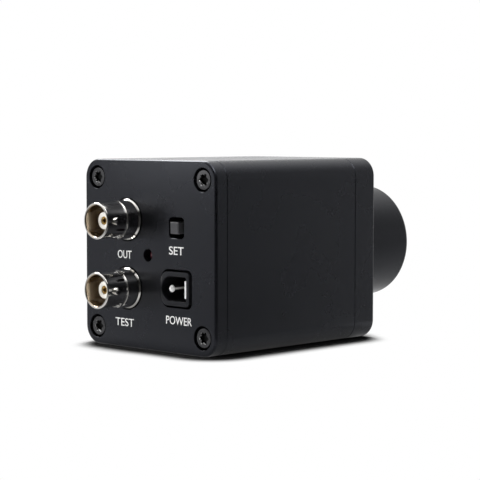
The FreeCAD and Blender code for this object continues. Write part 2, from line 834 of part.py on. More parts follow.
y_tip = y_front + lens_length
y_spigot = y_front - spigot_length
y_front_land = y_tip - lens_mouth_depth - ring_thickness
y_front_seat = y_front_land - front_element_edge
y_rear_shoulder = y_front_seat - lens_web
y_middle_back = y_rear_shoulder - middle_element_edge
y_stop_back = y_middle_back - stop_thickness
y_rear_ring = y_spigot + rear_ring_sink
y_rear_back = y_rear_ring + ring_thickness
y_rear_land = y_rear_back + rear_element_edge
front_bore = front_element_radius + lens_play
rear_bore = rear_element_radius + lens_play


def make_lens_barrel():
    """Round barrel with a spigot behind and stepped bores that seat the glass."""
    outline = [
        (rear_bore, y_spigot),
        (spigot_radius - spigot_break, y_spigot),
        (spigot_radius, y_spigot + spigot_break),
        (spigot_radius, y_front),
        (lens_radius, y_front),
        (lens_radius, y_tip),
        (lens_mouth_radius, y_tip),
        (front_bore, y_front_land + ring_thickness),
        (front_bore, y_front_seat),
        (front_element_clear, y_front_seat),
        (rear_element_clear, y_rear_shoulder),
        (rear_bore, y_rear_shoulder),
    ]
    barrel = turned(outline, 0.0, z_axis)
    rim = max(edges_at(barrel, y_tip), key=lambda edge: edge.Length)
    return barrel.makeFillet(min(lens_front_round, 0.9 * (lens_radius - lens_mouth_radius)), [rim])


def lens_element(y_back, edge, radius, clear, front_bulge, back_bulge):
    """Glass element with a flat land at its rim and a ball face on each side."""

    def face_arc(y_land, bulge):
        ball = (clear ** 2 + bulge ** 2) / (2 * bulge)
        half = clear / 2
        y_half = y_land + bulge - ball + math.copysign(math.sqrt(ball ** 2 - half ** 2), ball)
        ends = Vector(0, y_land + bulge, z_axis), Vector(clear, y_land, z_axis)
        return Part.Arc(ends[0], Vector(half, y_half, z_axis), ends[1]).toShape()

    y_land = y_back + edge
    rim = [Vector(clear, y_back, z_axis), Vector(radius, y_back, z_axis)]
    rim += [Vector(radius, y_land, z_axis), Vector(clear, y_land, z_axis)]
    axis = Part.makeLine(Vector(0, y_back - back_bulge, z_axis), Vector(0, y_land + front_bulge, z_axis))
    edges = [axis, face_arc(y_land, front_bulge), face_arc(y_back, -back_bulge)]
    edges += Part.makePolygon(rim).Edges
    outline = Part.Wire(Part.__sortEdges__(edges))
    return Part.Face(outline).revolve(Vector(0, 0, z_axis), AXIS_Y, 360)


def retaining_ring(y_seat, outward, outer, inner):
    """Threaded ring that holds glass in place, with two spanner slots in its outer face."""
    y_outside = y_seat + outward * ring_thickness
    ring = rod(outer, y_seat, y_outside, 0.0, z_axis).cut(rod(inner, y_seat, y_outside, 0.0, z_axis))
    y_slot = y_outside - outward * ring_slot_depth
    slot = bar(2 * outer, ring_slot_width, min(y_slot, y_outside), max(y_slot, y_outside), 0.0, z_axis)
    return ring.cut(slot)


def make_lens_spacer():
    """Tube between the stop and the rear element."""
    tube = rod(rear_element_radius, y_rear_land, y_stop_back, 0.0, z_axis)
    return tube.cut(rod(rear_element_clear, y_rear_land, y_stop_back, 0.0, z_axis))


def make_aperture_stop():
    """Thin disc with the lens's fixed aperture."""
    disc = rod(rear_element_radius, y_stop_back, y_middle_back, 0.0, z_axis)
    return disc.cut(rod(stop_radius, y_stop_back, y_middle_back, 0.0, z_axis))


# Sensor, filter and the links between boards

y_sensor_top = y_focus + sensor_rim
y_frame_top = y_sensor_front + frame_height
y_filter = y_frame_top - filter_thickness


def make_filter_frame():
    """Frame over the sensor, with a pocketed window that holds the filter."""
    pocket_width = filter_width + 2 * filter_play
    pocket_height = filter_height + 2 * filter_play
    room_width = max(sensor_width + 2 * frame_sensor_gap, pocket_width)
    room_height = max(sensor_height + 2 * frame_sensor_gap, pocket_height)
    frame = bar(
        room_width + 2 * frame_wall,
        room_height + 2 * frame_wall,
        y_sensor_front,
        y_frame_top,
        0.0,
        z_axis,
        inner_corner,
    )
    room = bar(room_width, room_height, y_sensor_front, y_filter - filter_floor, 0.0, z_axis)
    window_width = filter_width - 2 * filter_shelf
    window_height = filter_height - 2 * filter_shelf
    window = bar(window_width, window_height, y_sensor_front, y_frame_top, 0.0, z_axis)
    pocket = bar(pocket_width, pocket_height, y_filter, y_frame_top, 0.0, z_axis)
    return drilled(frame, [room, window, pocket])


def make_link_plug():
    """Board plug on the main board, with a tongue that enters the receptacle."""
    y_face = y_main_rear - link_plug_height
    block = bar(link_width, link_depth, y_face, y_main_rear, link_x, link_z)
    tongue = bar(
        link_width - 2 * (link_wall + link_play),
        link_depth - 2 * (link_wall + link_play),
        y_face - link_tongue_length,
        y_face,
        link_x,
        link_z,
    )
    return fused([block, tongue])


def make_link_receptacle():
    """Board receptacle on the port board, slotted for the plug's tongue."""
    y_face = y_main_rear - link_plug_height
    block = bar(link_width, link_depth, y_port_front, y_face, link_x, link_z)
    slot_width = link_width - 2 * link_wall
    slot_depth = link_depth - 2 * link_wall
    y_floor = y_face - link_tongue_length - link_play
    return block.cut(bar(slot_width, slot_depth, y_floor, y_face, link_x, link_z))


def flex_socket(y_face, outward):
    """Low connector for the flat cable, slotted across its far face."""
    y_far = y_face + outward * flex_socket_height
    y_floor = y_face + outward * flex_socket_floor
    slot_width = flex_width + 2 * link_play
    slot_height = flex_thickness + 2 * link_play
    block = bar(
        slot_width + 2 * flex_socket_wall,
        slot_height + 2 * flex_socket_wall,
        min(y_face, y_far),
        max(y_face, y_far),
        0.0,
        flex_z,
    )
    return block.cut(bar(slot_width, slot_height, min(y_floor, y_far), max(y_floor, y_far), 0.0, flex_z))


def make_flex_cable():
    """Flat cable between the sensor board and the main board, with a slack bow in it."""
    y_low, y_high = y_main_front + flex_socket_height, y_sensor_rear - flex_socket_height

    def place(along, out):
        return Vector(-flex_width / 2, y_low + along, flex_z - out)

    strip = bowed_strip(y_high - y_low, flex_bow_angle, flex_thickness, place, AXIS_X * flex_width)
    grip = flex_socket_height - flex_socket_floor
    ends = [
        bar(flex_width, flex_thickness, y_low - grip, y_low, 0.0, flex_z),
        bar(flex_width, flex_thickness, y_high, y_high + grip, 0.0, flex_z),
    ]
    return fused([strip] + ends)


def make_nodes():
    """Every piece of the camera by name."""
    nodes = {
        "body_sleeve": make_body_sleeve(),
        "rear_cover": make_rear_cover(),
        "front_cover": make_front_cover(),
        "rear_cover_screws": make_cover_screws(y_rear, y_sleeve_rear),
        "front_cover_screws": make_cover_screws(y_front, y_sleeve_front),
        "tripod_nut": make_tripod_nut(),
        "port_board": make_port_board(),
        "port_board_pillars": make_port_pillars(),
        "port_board_screws": make_port_board_screws(),
        "main_board": make_main_board(),
        "main_board_screws": make_main_board_screws(),
        "sensor_board": make_sensor_board(),
        "front_pillars": make_front_pillars(),
        "middle_pillars": make_middle_pillars(),
        "dc_housing": make_dc_housing(),
        "dc_pin": make_dc_pin(),
        "dc_leaf": make_dc_leaf(),
        "stick_base": make_stick_base(),
        "stick_cover": make_stick_cover(),
        "stick_dome": make_stick_dome(),
        "swing_frame": make_swing_frame(),
        "rocker": make_rocker(),
        "stem": make_stem(),
        "status_lamp": make_status_lamp(),
        "lamp_spacer": make_lamp_spacer(),
        "lens_barrel": make_lens_barrel(),
        "lens_spacer": make_lens_spacer(),
        "aperture_stop": make_aperture_stop(),
        "filter_frame": make_filter_frame(),
        "link_plug": make_link_plug(),
        "link_receptacle": make_link_receptacle(),
        "flex_cable": make_flex_cable(),
    }
    for name, z in bnc_axes.items():
        nodes["bnc_shell_" + name] = make_bnc_shell(z)
        nodes["bnc_insulator_" + name] = make_bnc_insulator(z)
        nodes["bnc_contact_" + name] = make_bnc_contact(z)
    nodes["front_element"] = lens_element(
        y_front_seat,
        front_element_edge,
        front_element_radius,
        front_element_clear,
        front_element_bulge,
        front_element_hollow,
    )
    nodes["middle_element"] = lens_element(
        y_middle_back,
        middle_element_edge,
        rear_element_radius,
        rear_element_clear,
        middle_element_bulge,
        -middle_element_bulge / 2,
    )
    nodes["rear_element"] = lens_element(
        y_rear_back,
        rear_element_edge,
        rear_element_radius,
        rear_element_clear,
        rear_element_bulge,
        rear_element_bulge / 2,
    )
    nodes["front_ring"] = retaining_ring(y_front_land, 1, front_element_radius, front_element_clear)
    nodes["rear_ring"] = retaining_ring(y_rear_back, -1, rear_element_radius, rear_element_clear)
    nodes["ir_cut_filter"] = bar(filter_width, filter_height, y_filter, y_frame_top, 0.0, z_axis)
    nodes["image_sensor"] = bar(sensor_width, sensor_height, y_sensor_front, y_sensor_top, 0.0, z_axis)
    nodes["sensor_glass"] = bar(
        sensor_width - 2 * sensor_glass_margin,
        sensor_height - 2 * sensor_glass_margin,
        y_sensor_top,
        y_sensor_top + sensor_glass_thickness,
        0.0,
        z_axis,
    )
    nodes["image_processor"] = chip(
        processor_width, processor_width, processor_height, y_main_front, 1, 0.0, z_axis
    )
    nodes["memory_chip"] = chip(
        memory_width, memory_length, memory_height, y_main_front, 1, memory_x, z_axis
    )
    nodes["power_inductor"] = chip(
        inductor_width, inductor_width, inductor_height, y_main_front, 1, inductor_x, z_axis
    )
    nodes["video_driver"] = chip(
        driver_width, driver_width, driver_height, y_port_front, 1, driver_x, z_axis + driver_rise
    )
    nodes["sensor_flex_socket"] = flex_socket(y_sensor_rear, -1)
    nodes["main_flex_socket"] = flex_socket(y_main_front, 1)
    return nodes


def main():
    """Writes one file for each piece."""
    os.makedirs("parts", exist_ok=True)
    for name, shape in make_nodes().items():
        shape.exportStep(os.path.join("parts", name + ".step"))


main()
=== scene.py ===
"""Fine meshes, finishes, print and studio for a small box camera with its ports on the rear cover."""

from __future__ import annotations

import json
import logging
import math
from collections.abc import Callable, Iterable, Sequence
from dataclasses import dataclass
from enum import Enum
from typing import Any

import bmesh
import bpy
from mathutils import Matrix, Vector

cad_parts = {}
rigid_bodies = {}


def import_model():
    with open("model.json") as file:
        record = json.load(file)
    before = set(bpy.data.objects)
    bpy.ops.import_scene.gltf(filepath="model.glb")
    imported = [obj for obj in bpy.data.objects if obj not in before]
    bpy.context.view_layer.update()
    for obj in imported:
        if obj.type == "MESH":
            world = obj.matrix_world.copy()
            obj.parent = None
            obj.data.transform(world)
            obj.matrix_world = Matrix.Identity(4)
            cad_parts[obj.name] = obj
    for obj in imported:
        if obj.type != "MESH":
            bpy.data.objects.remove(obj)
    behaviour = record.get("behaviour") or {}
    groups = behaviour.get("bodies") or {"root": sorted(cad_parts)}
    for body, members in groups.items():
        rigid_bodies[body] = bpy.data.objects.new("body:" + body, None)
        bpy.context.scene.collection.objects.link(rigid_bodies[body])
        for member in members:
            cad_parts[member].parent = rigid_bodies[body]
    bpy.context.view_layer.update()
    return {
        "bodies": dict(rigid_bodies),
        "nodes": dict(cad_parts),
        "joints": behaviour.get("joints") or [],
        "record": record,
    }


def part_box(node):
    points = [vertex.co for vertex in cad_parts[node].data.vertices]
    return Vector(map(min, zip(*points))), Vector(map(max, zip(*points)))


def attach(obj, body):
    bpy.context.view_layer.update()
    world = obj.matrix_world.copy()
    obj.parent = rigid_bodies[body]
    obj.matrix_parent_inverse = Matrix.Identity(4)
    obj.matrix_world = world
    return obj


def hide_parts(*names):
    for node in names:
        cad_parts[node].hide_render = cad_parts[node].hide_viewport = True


LOG = logging.getLogger("box_camera")
MM = 0.001
ROUND_STEPS = 96
CORNER_STEPS = 14
SOFT_STEPS = 4
QUARTER_STEPS = 8
CREASE = math.radians(32)
LEAST_ROUND = 0.01 * MM
LEVEL_TOLERANCE = 1e-7
FIRST_PAINT, SECOND_PAINT, THIRD_PAINT = range(3)
# Share of a broken edge's reach that tells its faces from those beyond it
NEARLY_ALL = 0.9
QUADRANTS = ((1, 1), (-1, 1), (-1, -1), (1, -1))
ORIGIN = (0.0, 0.0, 0.0)
NOISE_SPAN = (0.3, 0.7)
NOISE_MEAN = 0.5
# Sockets of a Mix node for colours, by number because those for other kinds have the same names
MIX_COLORS = (6, 7)
MIX_RESULT = 2
WHITE = (1.0, 1.0, 1.0, 1.0)
BLUISH = (0.81, 0.86, 1.0, 1.0)
BLOOMED = (0.22, 0.15, 0.5, 1.0)

Points = list[tuple[float, float]]
Corners = list[tuple[float, float, float]]
Ring = list[bmesh.types.BMVert]
Color = tuple[float, float, float, float]
Place = tuple[float, float, float]
Span = tuple[float, float]
Socket = bpy.types.NodeSocket


class Body(Enum):
    """Bodies that the pieces ride on."""

    CAMERA = "camera"
    STEM = "stem"


class Slot(Enum):
    """Material slots of the record."""

    BLACK_ANODISED = "black_anodised"
    LENS_BLACK = "lens_black"
    SCREW_BLACK = "screw_black"
    STEEL = "steel"
    NICKEL_PLATE = "nickel_plate"
    WHITE_INSULATOR = "white_insulator"
    GILT_CONTACT = "gilt_contact"
    BRASS_PILLAR = "brass_pillar"
    BLACK_MOULDING = "black_moulding"
    GREY_STEM = "grey_stem"
    LAMP_RED = "lamp_red"
    LENS_GLASS = "lens_glass"
    FILTER_GLASS = "filter_glass"
    BOARD_GREEN = "board_green"
    CHIP_BLACK = "chip_black"
    FLEX_FILM = "flex_film"


class Extra(Enum):
    """Finishes that no slot of the record names."""

    PANEL_INK = "panel_ink"
    PLATED_BORE = "plated_bore"
    WORN_EDGE = "worn_edge"
    TINNED = "tinned"
    OILED_RECESS = "oiled_recess"


class JackPlace(Enum):
    """The two coaxial jacks on the rear cover."""

    UPPER = "upper"
    LOWER = "lower"


class CoverEnd(Enum):
    """The two ends of the casing, by the direction that each faces along Y."""

    REAR = -1
    FRONT = 1


class LampUse(Enum):
    """What a lamp does: light surfaces, or show in mirrors like a card."""

    LIGHT = "light"
    CARD = "card"


# Outlines across Y


def arc_points(x: float, z: float, radius: float, start: float, end: float, steps: int) -> Points:
    """Points along an arc about (x, z), from one angle to another in degrees, both ends included."""
    turns = [math.radians(start + (end - start) * i / steps) for i in range(steps + 1)]
    return [(x + radius * math.cos(t), z + radius * math.sin(t)) for t in turns]


class Outline:
    """Closed line across Y, with the same number of points at any inset."""

    def points(self, inset: float = 0.0) -> Points:
        """Points of the line, drawn in by inset."""
        raise NotImplementedError


Sections = list[tuple[Outline, float, float]]


class PolarOutline(Outline):
    """Outline that is one distance from its centre in each direction."""

    x: float
    z: float

    def reach(self, turn: float) -> float:
        """Distance of the line from its centre at an angle."""
        raise NotImplementedError

    def points(self, inset: float = 0.0) -> Points:
        """Points at equal angles, each drawn in towards the centre.

        Args:
            inset: How far the line is drawn in.

        Returns:
            The points in order.
        """
        turns = [2 * math.pi * i / ROUND_STEPS for i in range(ROUND_STEPS)]
        spokes = [(t, self.reach(t) - inset) for t in turns]
        return [(self.x + r * math.cos(t), self.z + r * math.sin(t)) for t, r in spokes]


@dataclass(frozen=True)
class Round(PolarOutline):
    """Circle."""

    x: float
    z: float
    radius: float

    def reach(self, turn: float) -> float:
        """The radius, at any angle."""
        return self.radius


@dataclass(frozen=True)
class SixLobe(PolarOutline):
    """Six-lobe driver recess."""

    x: float
    z: float
    core: float
    lobe: float

    def reach(self, turn: float) -> float:
        """Distance to the lobe or the core, whichever is further out.

        Args:
            turn: The angle.

        Returns:
            The distance.
        """
        pitch = math.pi / 3
        off = turn % pitch
        off = min(off, pitch - off)
        across = self.core * math.sin(off)
        if across >= self.lobe:
            return self.core
        return max(self.core, self.core * math.cos(off) + math.sqrt(self.lobe**2 - across**2))


@dataclass(frozen=True)
class RoundedSquare(PolarOutline):
    """Square with round corners, sampled at equal angles so that it meets a circle point by point."""

    x: float
    z: float
    width: float
    corner: float

    def reach(self, turn: float) -> float:
        """Distance to a flat or to a corner's arc.

        Args:
            turn: The angle.

        Returns:
            The distance.
        """
        long_side, short_side = sorted((abs(math.cos(turn)), abs(math.sin(turn))), reverse=True)
        half = self.width / 2
        centre = half - self.corner
        if half * short_side / long_side <= centre:
            return half / long_side
        along = centre * (long_side + short_side)
        return along + math.sqrt(along**2 - 2 * centre**2 + self.corner**2)


@dataclass(frozen=True)
class RoundedBox(Outline):
    """Rectangle with round corners, which may be rounder on its left."""

    x: float
    z: float
    width: float
    height: float
    corner: float
    left_corner: float = 0.0

    def points(self, inset: float = 0.0) -> Points:
        """Four corner arcs, joined by straight runs.

        Args:
            inset: How far the line is drawn in.

        Returns:
            The points in order.
        """
        points: Points = []
        for i, (sx, sz) in enumerate(QUADRANTS):
            corner = self.left_corner if sx < 0 < self.left_corner else self.corner
            radius = max(corner - inset, LEAST_ROUND)
            x = self.x + sx * (self.width / 2 - inset - radius)
            z = self.z + sz * (self.height / 2 - inset - radius)
            points += arc_points(x, z, radius, 90 * i, 90 * i + 90, CORNER_STEPS)
        return points


@dataclass(frozen=True)
class NosedBox(Outline):
    """D shape: flat on the right, half round on the left."""

    left: float
    right: float
    z: float
    half_height: float
    corner: float

    def points(self, inset: float = 0.0) -> Points:
        """Upper corner, nose and lower corner.

        Args:
            inset: How far the line is drawn in.

        Returns:
            The points in order.
        """
        half = self.half_height - inset
        radius = max(self.corner - inset, LEAST_ROUND)
        x, rise = self.right - inset - radius, half - radius
        upper = arc_points(x, self.z + rise, radius, 0, 90, CORNER_STEPS)
        nose = arc_points(self.left + self.half_height, self.z, half, 90, 270, 3 * CORNER_STEPS)
        lower = arc_points(x, self.z - rise, radius, 270, 360, CORNER_STEPS)
        return upper + nose + lower


@dataclass(frozen=True)
class BossedHollow(Outline):
    """Inside of the casing, with a round screw boss standing in each corner."""

    x: float
    z: float
    width: float
    height: float
    boss_x: float
    boss_z: float
    boss_radius: float

    def points(self, inset: float = 0.0) -> Points:
        """Straight walls, joined by the bosses' arcs.

        Args:
            inset: How far the line is drawn in.

        Returns:
            The points in order.
        """
        radius = self.boss_radius + inset
        to_side = self.width / 2 - inset - self.boss_x
        to_top = self.height / 2 - inset - self.boss_z
        start = -math.degrees(math.acos(to_side / radius))
        end = -270 + math.degrees(math.acos(to_top / radius))
        corner = arc_points(self.boss_x, self.boss_z, radius, start, end, CORNER_STEPS)
        points: Points = []
        for sx, sz in QUADRANTS:
            run = corner if sx == sz else corner[::-1]
            points += [(self.x + sx * x, self.z + sz * z) for x, z in run]
        return points


def softened(corners: Corners, closed: bool = True) -> Points:
    """Rounds the corners of a turned profile.

    Args:
        corners: Radius, place along Y and rounding of each corner, in order.
        closed: Whether the last corner joins the first.

    Returns:
        The profile's points.
    """
    profile: Points = []
    count = len(corners)
    for i, (radius, y, rounding) in enumerate(corners):
        if rounding <= 0 or (not closed and i in (0, count - 1)):
            profile.append((radius, y))
            continue
        here = Vector((radius, y))
        back = (Vector(corners[i - 1][:2]) - here).normalized()
        ahead = (Vector(corners[(i + 1) % count][:2]) - here).normalized()
        half_angle = back.angle(ahead) / 2
        centre = here + (back + ahead).normalized() * (rounding / math.sin(half_angle))
        first = here + back * (rounding / math.tan(half_angle)) - centre
        turn = math.pi - 2 * half_angle
        side = 1 if back.x * ahead.y - back.y * ahead.x < 0 else -1
        for step in range(SOFT_STEPS + 1):
            spoke = Matrix.Rotation(side * turn * step / SOFT_STEPS, 2) @ first
            profile.append(tuple(centre + spoke))
    return profile


def quarter_round(radius: float) -> Points:
    """Depth and inset along a rounded edge, from the face to the side."""
    turns = [math.pi / 2 * i / QUARTER_STEPS for i in range(QUARTER_STEPS + 1)]
    return [(radius * (1 - math.cos(t)), radius * (1 - math.sin(t))) for t in turns]


# Mesh building


class Shell:
    """Mesh under construction, made of walls along Y and flat faces across it."""

    def __init__(self) -> None:
        """Starts an empty mesh, painted with the piece's first material."""
        self.mesh = bmesh.new()
        self.paint = FIRST_PAINT

    def ring(self, points: Points, y: float) -> Ring:
        """Vertices of an outline at a place along Y."""
        return [self.mesh.verts.new((x, y, z)) for x, z in points]

    def face(self, corners: Iterable[bmesh.types.BMVert]) -> None:
        """One face, in the paint that is set."""
        self.mesh.faces.new(corners).material_index = self.paint

    def bridge(self, near: Ring, far: Ring) -> None:
        """Joins two rings of the same count with a band of faces."""
        for i in range(len(near)):
            self.face((near[i - 1], near[i], far[i], far[i - 1]))

    def wall(self, outline: Outline, stations: Iterable[tuple[float, float]]) -> tuple[Ring, Ring]:
        """Skins an outline through stations, each a place along Y and an inset, for its end rings."""
        return self.loft([(outline, y, inset) for y, inset in stations])

    def loft(self, sections: Sections, closed: bool = False) -> tuple[Ring, Ring]:
        """Skins a row of outlines that have the same number of points.

        Args:
            sections: Outline, place along Y and inset of each ring, in order.
            closed: Whether the last ring joins the first.

        Returns:
            The first and the last ring.
        """
        rings = [self.ring(outline.points(inset), y) for outline, y, inset in sections]
        for near, far in zip(rings, rings[1:]):
            self.bridge(near, far)
        if closed:
            self.bridge(rings[-1], rings[0])
        return rings[0], rings[-1]

    def flat(self, *rings: Ring) -> None:
        """Fills the plane between an outer ring and the holes in it.

        Args:
            rings: The outer ring and any holes, all in one plane.
        """
        edges = []
        for ring in rings:
            pairs = [(ring[i - 1], ring[i]) for i in range(len(ring))]
            edges += [self.mesh.edges.get(pair) or self.mesh.edges.new(pair) for pair in pairs]
        filled = bmesh.ops.triangle_fill(self.mesh, use_beauty=True, use_dissolve=False, edges=edges)
        for item in filled["geom"]:
            if isinstance(item, bmesh.types.BMFace):
                item.material_index = self.paint

    def tip(self, ring: Ring, point: Sequence[float]) -> None:
        """Closes a ring with a fan to a point.

        Args:
            ring: The ring.
            point: The point.
        """
        apex = self.mesh.verts.new(point)
        for i in range(len(ring)):
            self.face((ring[i - 1], ring[i], apex))

    def turned(self, profile: Points, x: float, z: float) -> None:
        """Skins a profile turned about a line along Y.

        Args:
            profile: Radius and place along Y of each point. It closes on itself unless an end is on
                the axis.
            x: Place of the axis.
            z: Place of the axis.
        """
        off_axis = [(Round(x, z, radius), y, 0.0) for radius, y in profile if radius > 0]
        ends = profile[0], profile[-1]
        first, last = self.loft(off_axis, closed=all(radius > 0 for radius, _ in ends))
        for (radius, y), ring in zip(ends, (first, last)):
            if radius <= 0:
                self.tip(ring, (x, y, z))

    def pierce(self, low: float, high: float, radius: float) -> None:
        """Cuts a round hole along Z through two large level faces about the origin.

        Args:
            low: Height of the lower face.
            high: Height of the upper face.
            radius: Radius of the hole.
        """
        rims = []
        for height in (low, high):
            faces = self.mesh.faces
            level = [f for f in faces if all(abs(v.co.z - height) < LEVEL_TOLERANCE for v in f.verts)]
            plate = max(level, key=lambda face: face.calc_area())
            border = list(plate.verts)
            bmesh.ops.delete(self.mesh, geom=[plate], context="FACES_ONLY")
            rim = [self.mesh.verts.new((x, y, height)) for x, y in Round(0.0, 0.0, radius).points()]
            self.flat(border, rim)
            rims.append(rim)
        self.bridge(*rims)

    def repaint(self, paint: int, chosen: Callable[[Vector], bool]) -> None:
        """Gives another paint to some of the faces.

        Args:
            paint: Number of the paint.
            chosen: Test of a face's middle.
        """
        for face in self.mesh.faces:
            if chosen(face.calc_center_median()):
                face.material_index = paint

    def piece(self, name: str, *finishes: bpy.types.Material) -> bpy.types.Object:
        """Ends the mesh and makes it an object with even shading.

        Args:
            name: Name of the object.
            finishes: Its materials, in the order of their paint numbers.

        Returns:
            The object, linked to the scene.
        """
        bmesh.ops.recalc_face_normals(self.mesh, faces=self.mesh.faces[:])
        data = bpy.data.meshes.new(name)
        self.mesh.to_mesh(data)
        self.mesh.free()
        return finished(name, data, *finishes)


def finished(name: str, data: bpy.types.Mesh, *finishes: bpy.types.Material) -> bpy.types.Object:
    """Makes an object of a mesh, smooth but for its creases.

    Args:
        name: Name of the object.
        data: The mesh.
        finishes: Its materials, in the order of their paint numbers.

    Returns:
        The object, linked to the scene.
    """
    data.shade_smooth()
    data.set_sharp_from_angle(angle=CREASE)
    for finish in finishes:
        data.materials.append(finish)
    piece = bpy.data.objects.new(name, data)
    bpy.context.scene.collection.objects.link(piece)
    even = piece.modifiers.new("even_shading", "WEIGHTED_NORMAL")
    even.keep_sharp = True
    return piece


def seat(piece: bpy.types.Object, body: Body, slot: Slot, *nodes: str) -> None:
    """Rides a piece on its body and hides the nodes that it stands for.

    Args:
        piece: The piece, in place.
        body: The body that carries it.
        slot: The record's slot that its finish comes from; not used.
        nodes: The solids that it stands for.
    """
    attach(piece, body.value)
    if nodes:
        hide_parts(*nodes)
    LOG.info("%s: %d faces, rides on %s", piece.name, len(piece.data.polygons), body.value)


# Node groups and finishes


class Graph:
    """Short hand for building a node tree."""

    def __init__(self, tree: bpy.types.NodeTree) -> None:
        """Takes the tree to build in, emptied."""
        self.tree = tree
        tree.nodes.clear()

    def feed(self, node: bpy.types.Node, inputs: dict[str | int, Any]) -> None:
        """Gives values to a node's input sockets, or links them.

        Args:
            node: The node.
            inputs: A value for each input, or the socket to link it to.
        """
        for key, value in inputs.items():
            if isinstance(value, Socket):
                self.tree.links.new(value, node.inputs[key])
            else:
                node.inputs[key].default_value = value

    def add(self, kind: str, inputs: dict[str | int, Any] | None = None, **settings: Any) -> bpy.types.Node:
        """Adds a node.

        Args:
            kind: Blender's name for the node.
            inputs: Values for its input sockets, or sockets to link to them.
            settings: Values for its properties.

        Returns:
            The node.
        """
        node = self.tree.nodes.new(kind)
        for key, value in settings.items():
            setattr(node, key, value)
        self.feed(node, inputs or {})
        return node

    def math(self, operation: str, *values: Any) -> Socket:
        """Result of a Math node on numbers or sockets."""
        return self.add("ShaderNodeMath", dict(enumerate(values)), operation=operation).outputs[0]

    def vector(self, operation: str, *values: Any) -> Any:
        """Outputs of a Vector Math node on vectors or sockets."""
        return self.add("ShaderNodeVectorMath", dict(enumerate(values)), operation=operation).outputs

    def noise(self, place: Socket, scale: Socket, detail: float) -> Socket:
        """Height of a noise texture at a place."""
        values = {"Vector": place, "Scale": scale, "Detail": detail}
        return self.add("ShaderNodeTexNoise", values).outputs["Fac"]

    def blend(self, mask: Socket, first: Any, second: Any) -> Socket:
        """Colour between two colours, by a mask."""
        values = {"Factor": mask, MIX_COLORS[0]: first, MIX_COLORS[1]: second}
        return self.add("ShaderNodeMix", values, data_type="RGBA").outputs[MIX_RESULT]

    def scaled(
        self, value: Socket, span: Span = (0.0, 1.0), low: Any = 0.0, high: Any = 1.0, kind: str = "LINEAR"
    ) -> Socket:
        """Takes a value's place in a span over to a place between two levels, by a kind of Map Range."""
        levels = {"Value": value, "From Min": span[0], "From Max": span[1], "To Min": low, "To Max": high}
        return self.add("ShaderNodeMapRange", levels, interpolation_type=kind).outputs["Result"]

    def ramp(self, value: Socket, span: Span, low: Any = 0.0, high: Any = 1.0) -> Socket:
        """Smooth step of a value over a span, from one level to another."""
        return self.scaled(value, span, low, high, "SMOOTHSTEP")

    def group(self, tree: bpy.types.NodeTree, **inputs: Any) -> Any:
        """Outputs of a node group, placed with its own values."""
        return self.add("ShaderNodeGroup", inputs, node_tree=tree).outputs


def open_group(
    name: str, inputs: dict[str, float | Place], outputs: Sequence[str]
) -> tuple[Graph, Any, bpy.types.Node]:
    """Opens a node group with named sockets.

    Args:
        name: Name of the group.
        inputs: Its inputs and their usual values, numbers or vectors.
        outputs: Its outputs, all numbers.

    Returns:
        The graph to build in, the group's inputs and its output node.
    """
    tree = bpy.data.node_groups.new(name, "ShaderNodeTree")
    for key, value in inputs.items():
        kind = "NodeSocketVector" if isinstance(value, tuple) else "NodeSocketFloat"
        socket = tree.interface.new_socket(name=key, in_out="INPUT", socket_type=kind)
        socket.default_value = value
    for key in outputs:
        tree.interface.new_socket(name=key, in_out="OUTPUT", socket_type="NodeSocketFloat")
    graph = Graph(tree)
    return graph, graph.add("NodeGroupInput").outputs, graph.add("NodeGroupOutput")


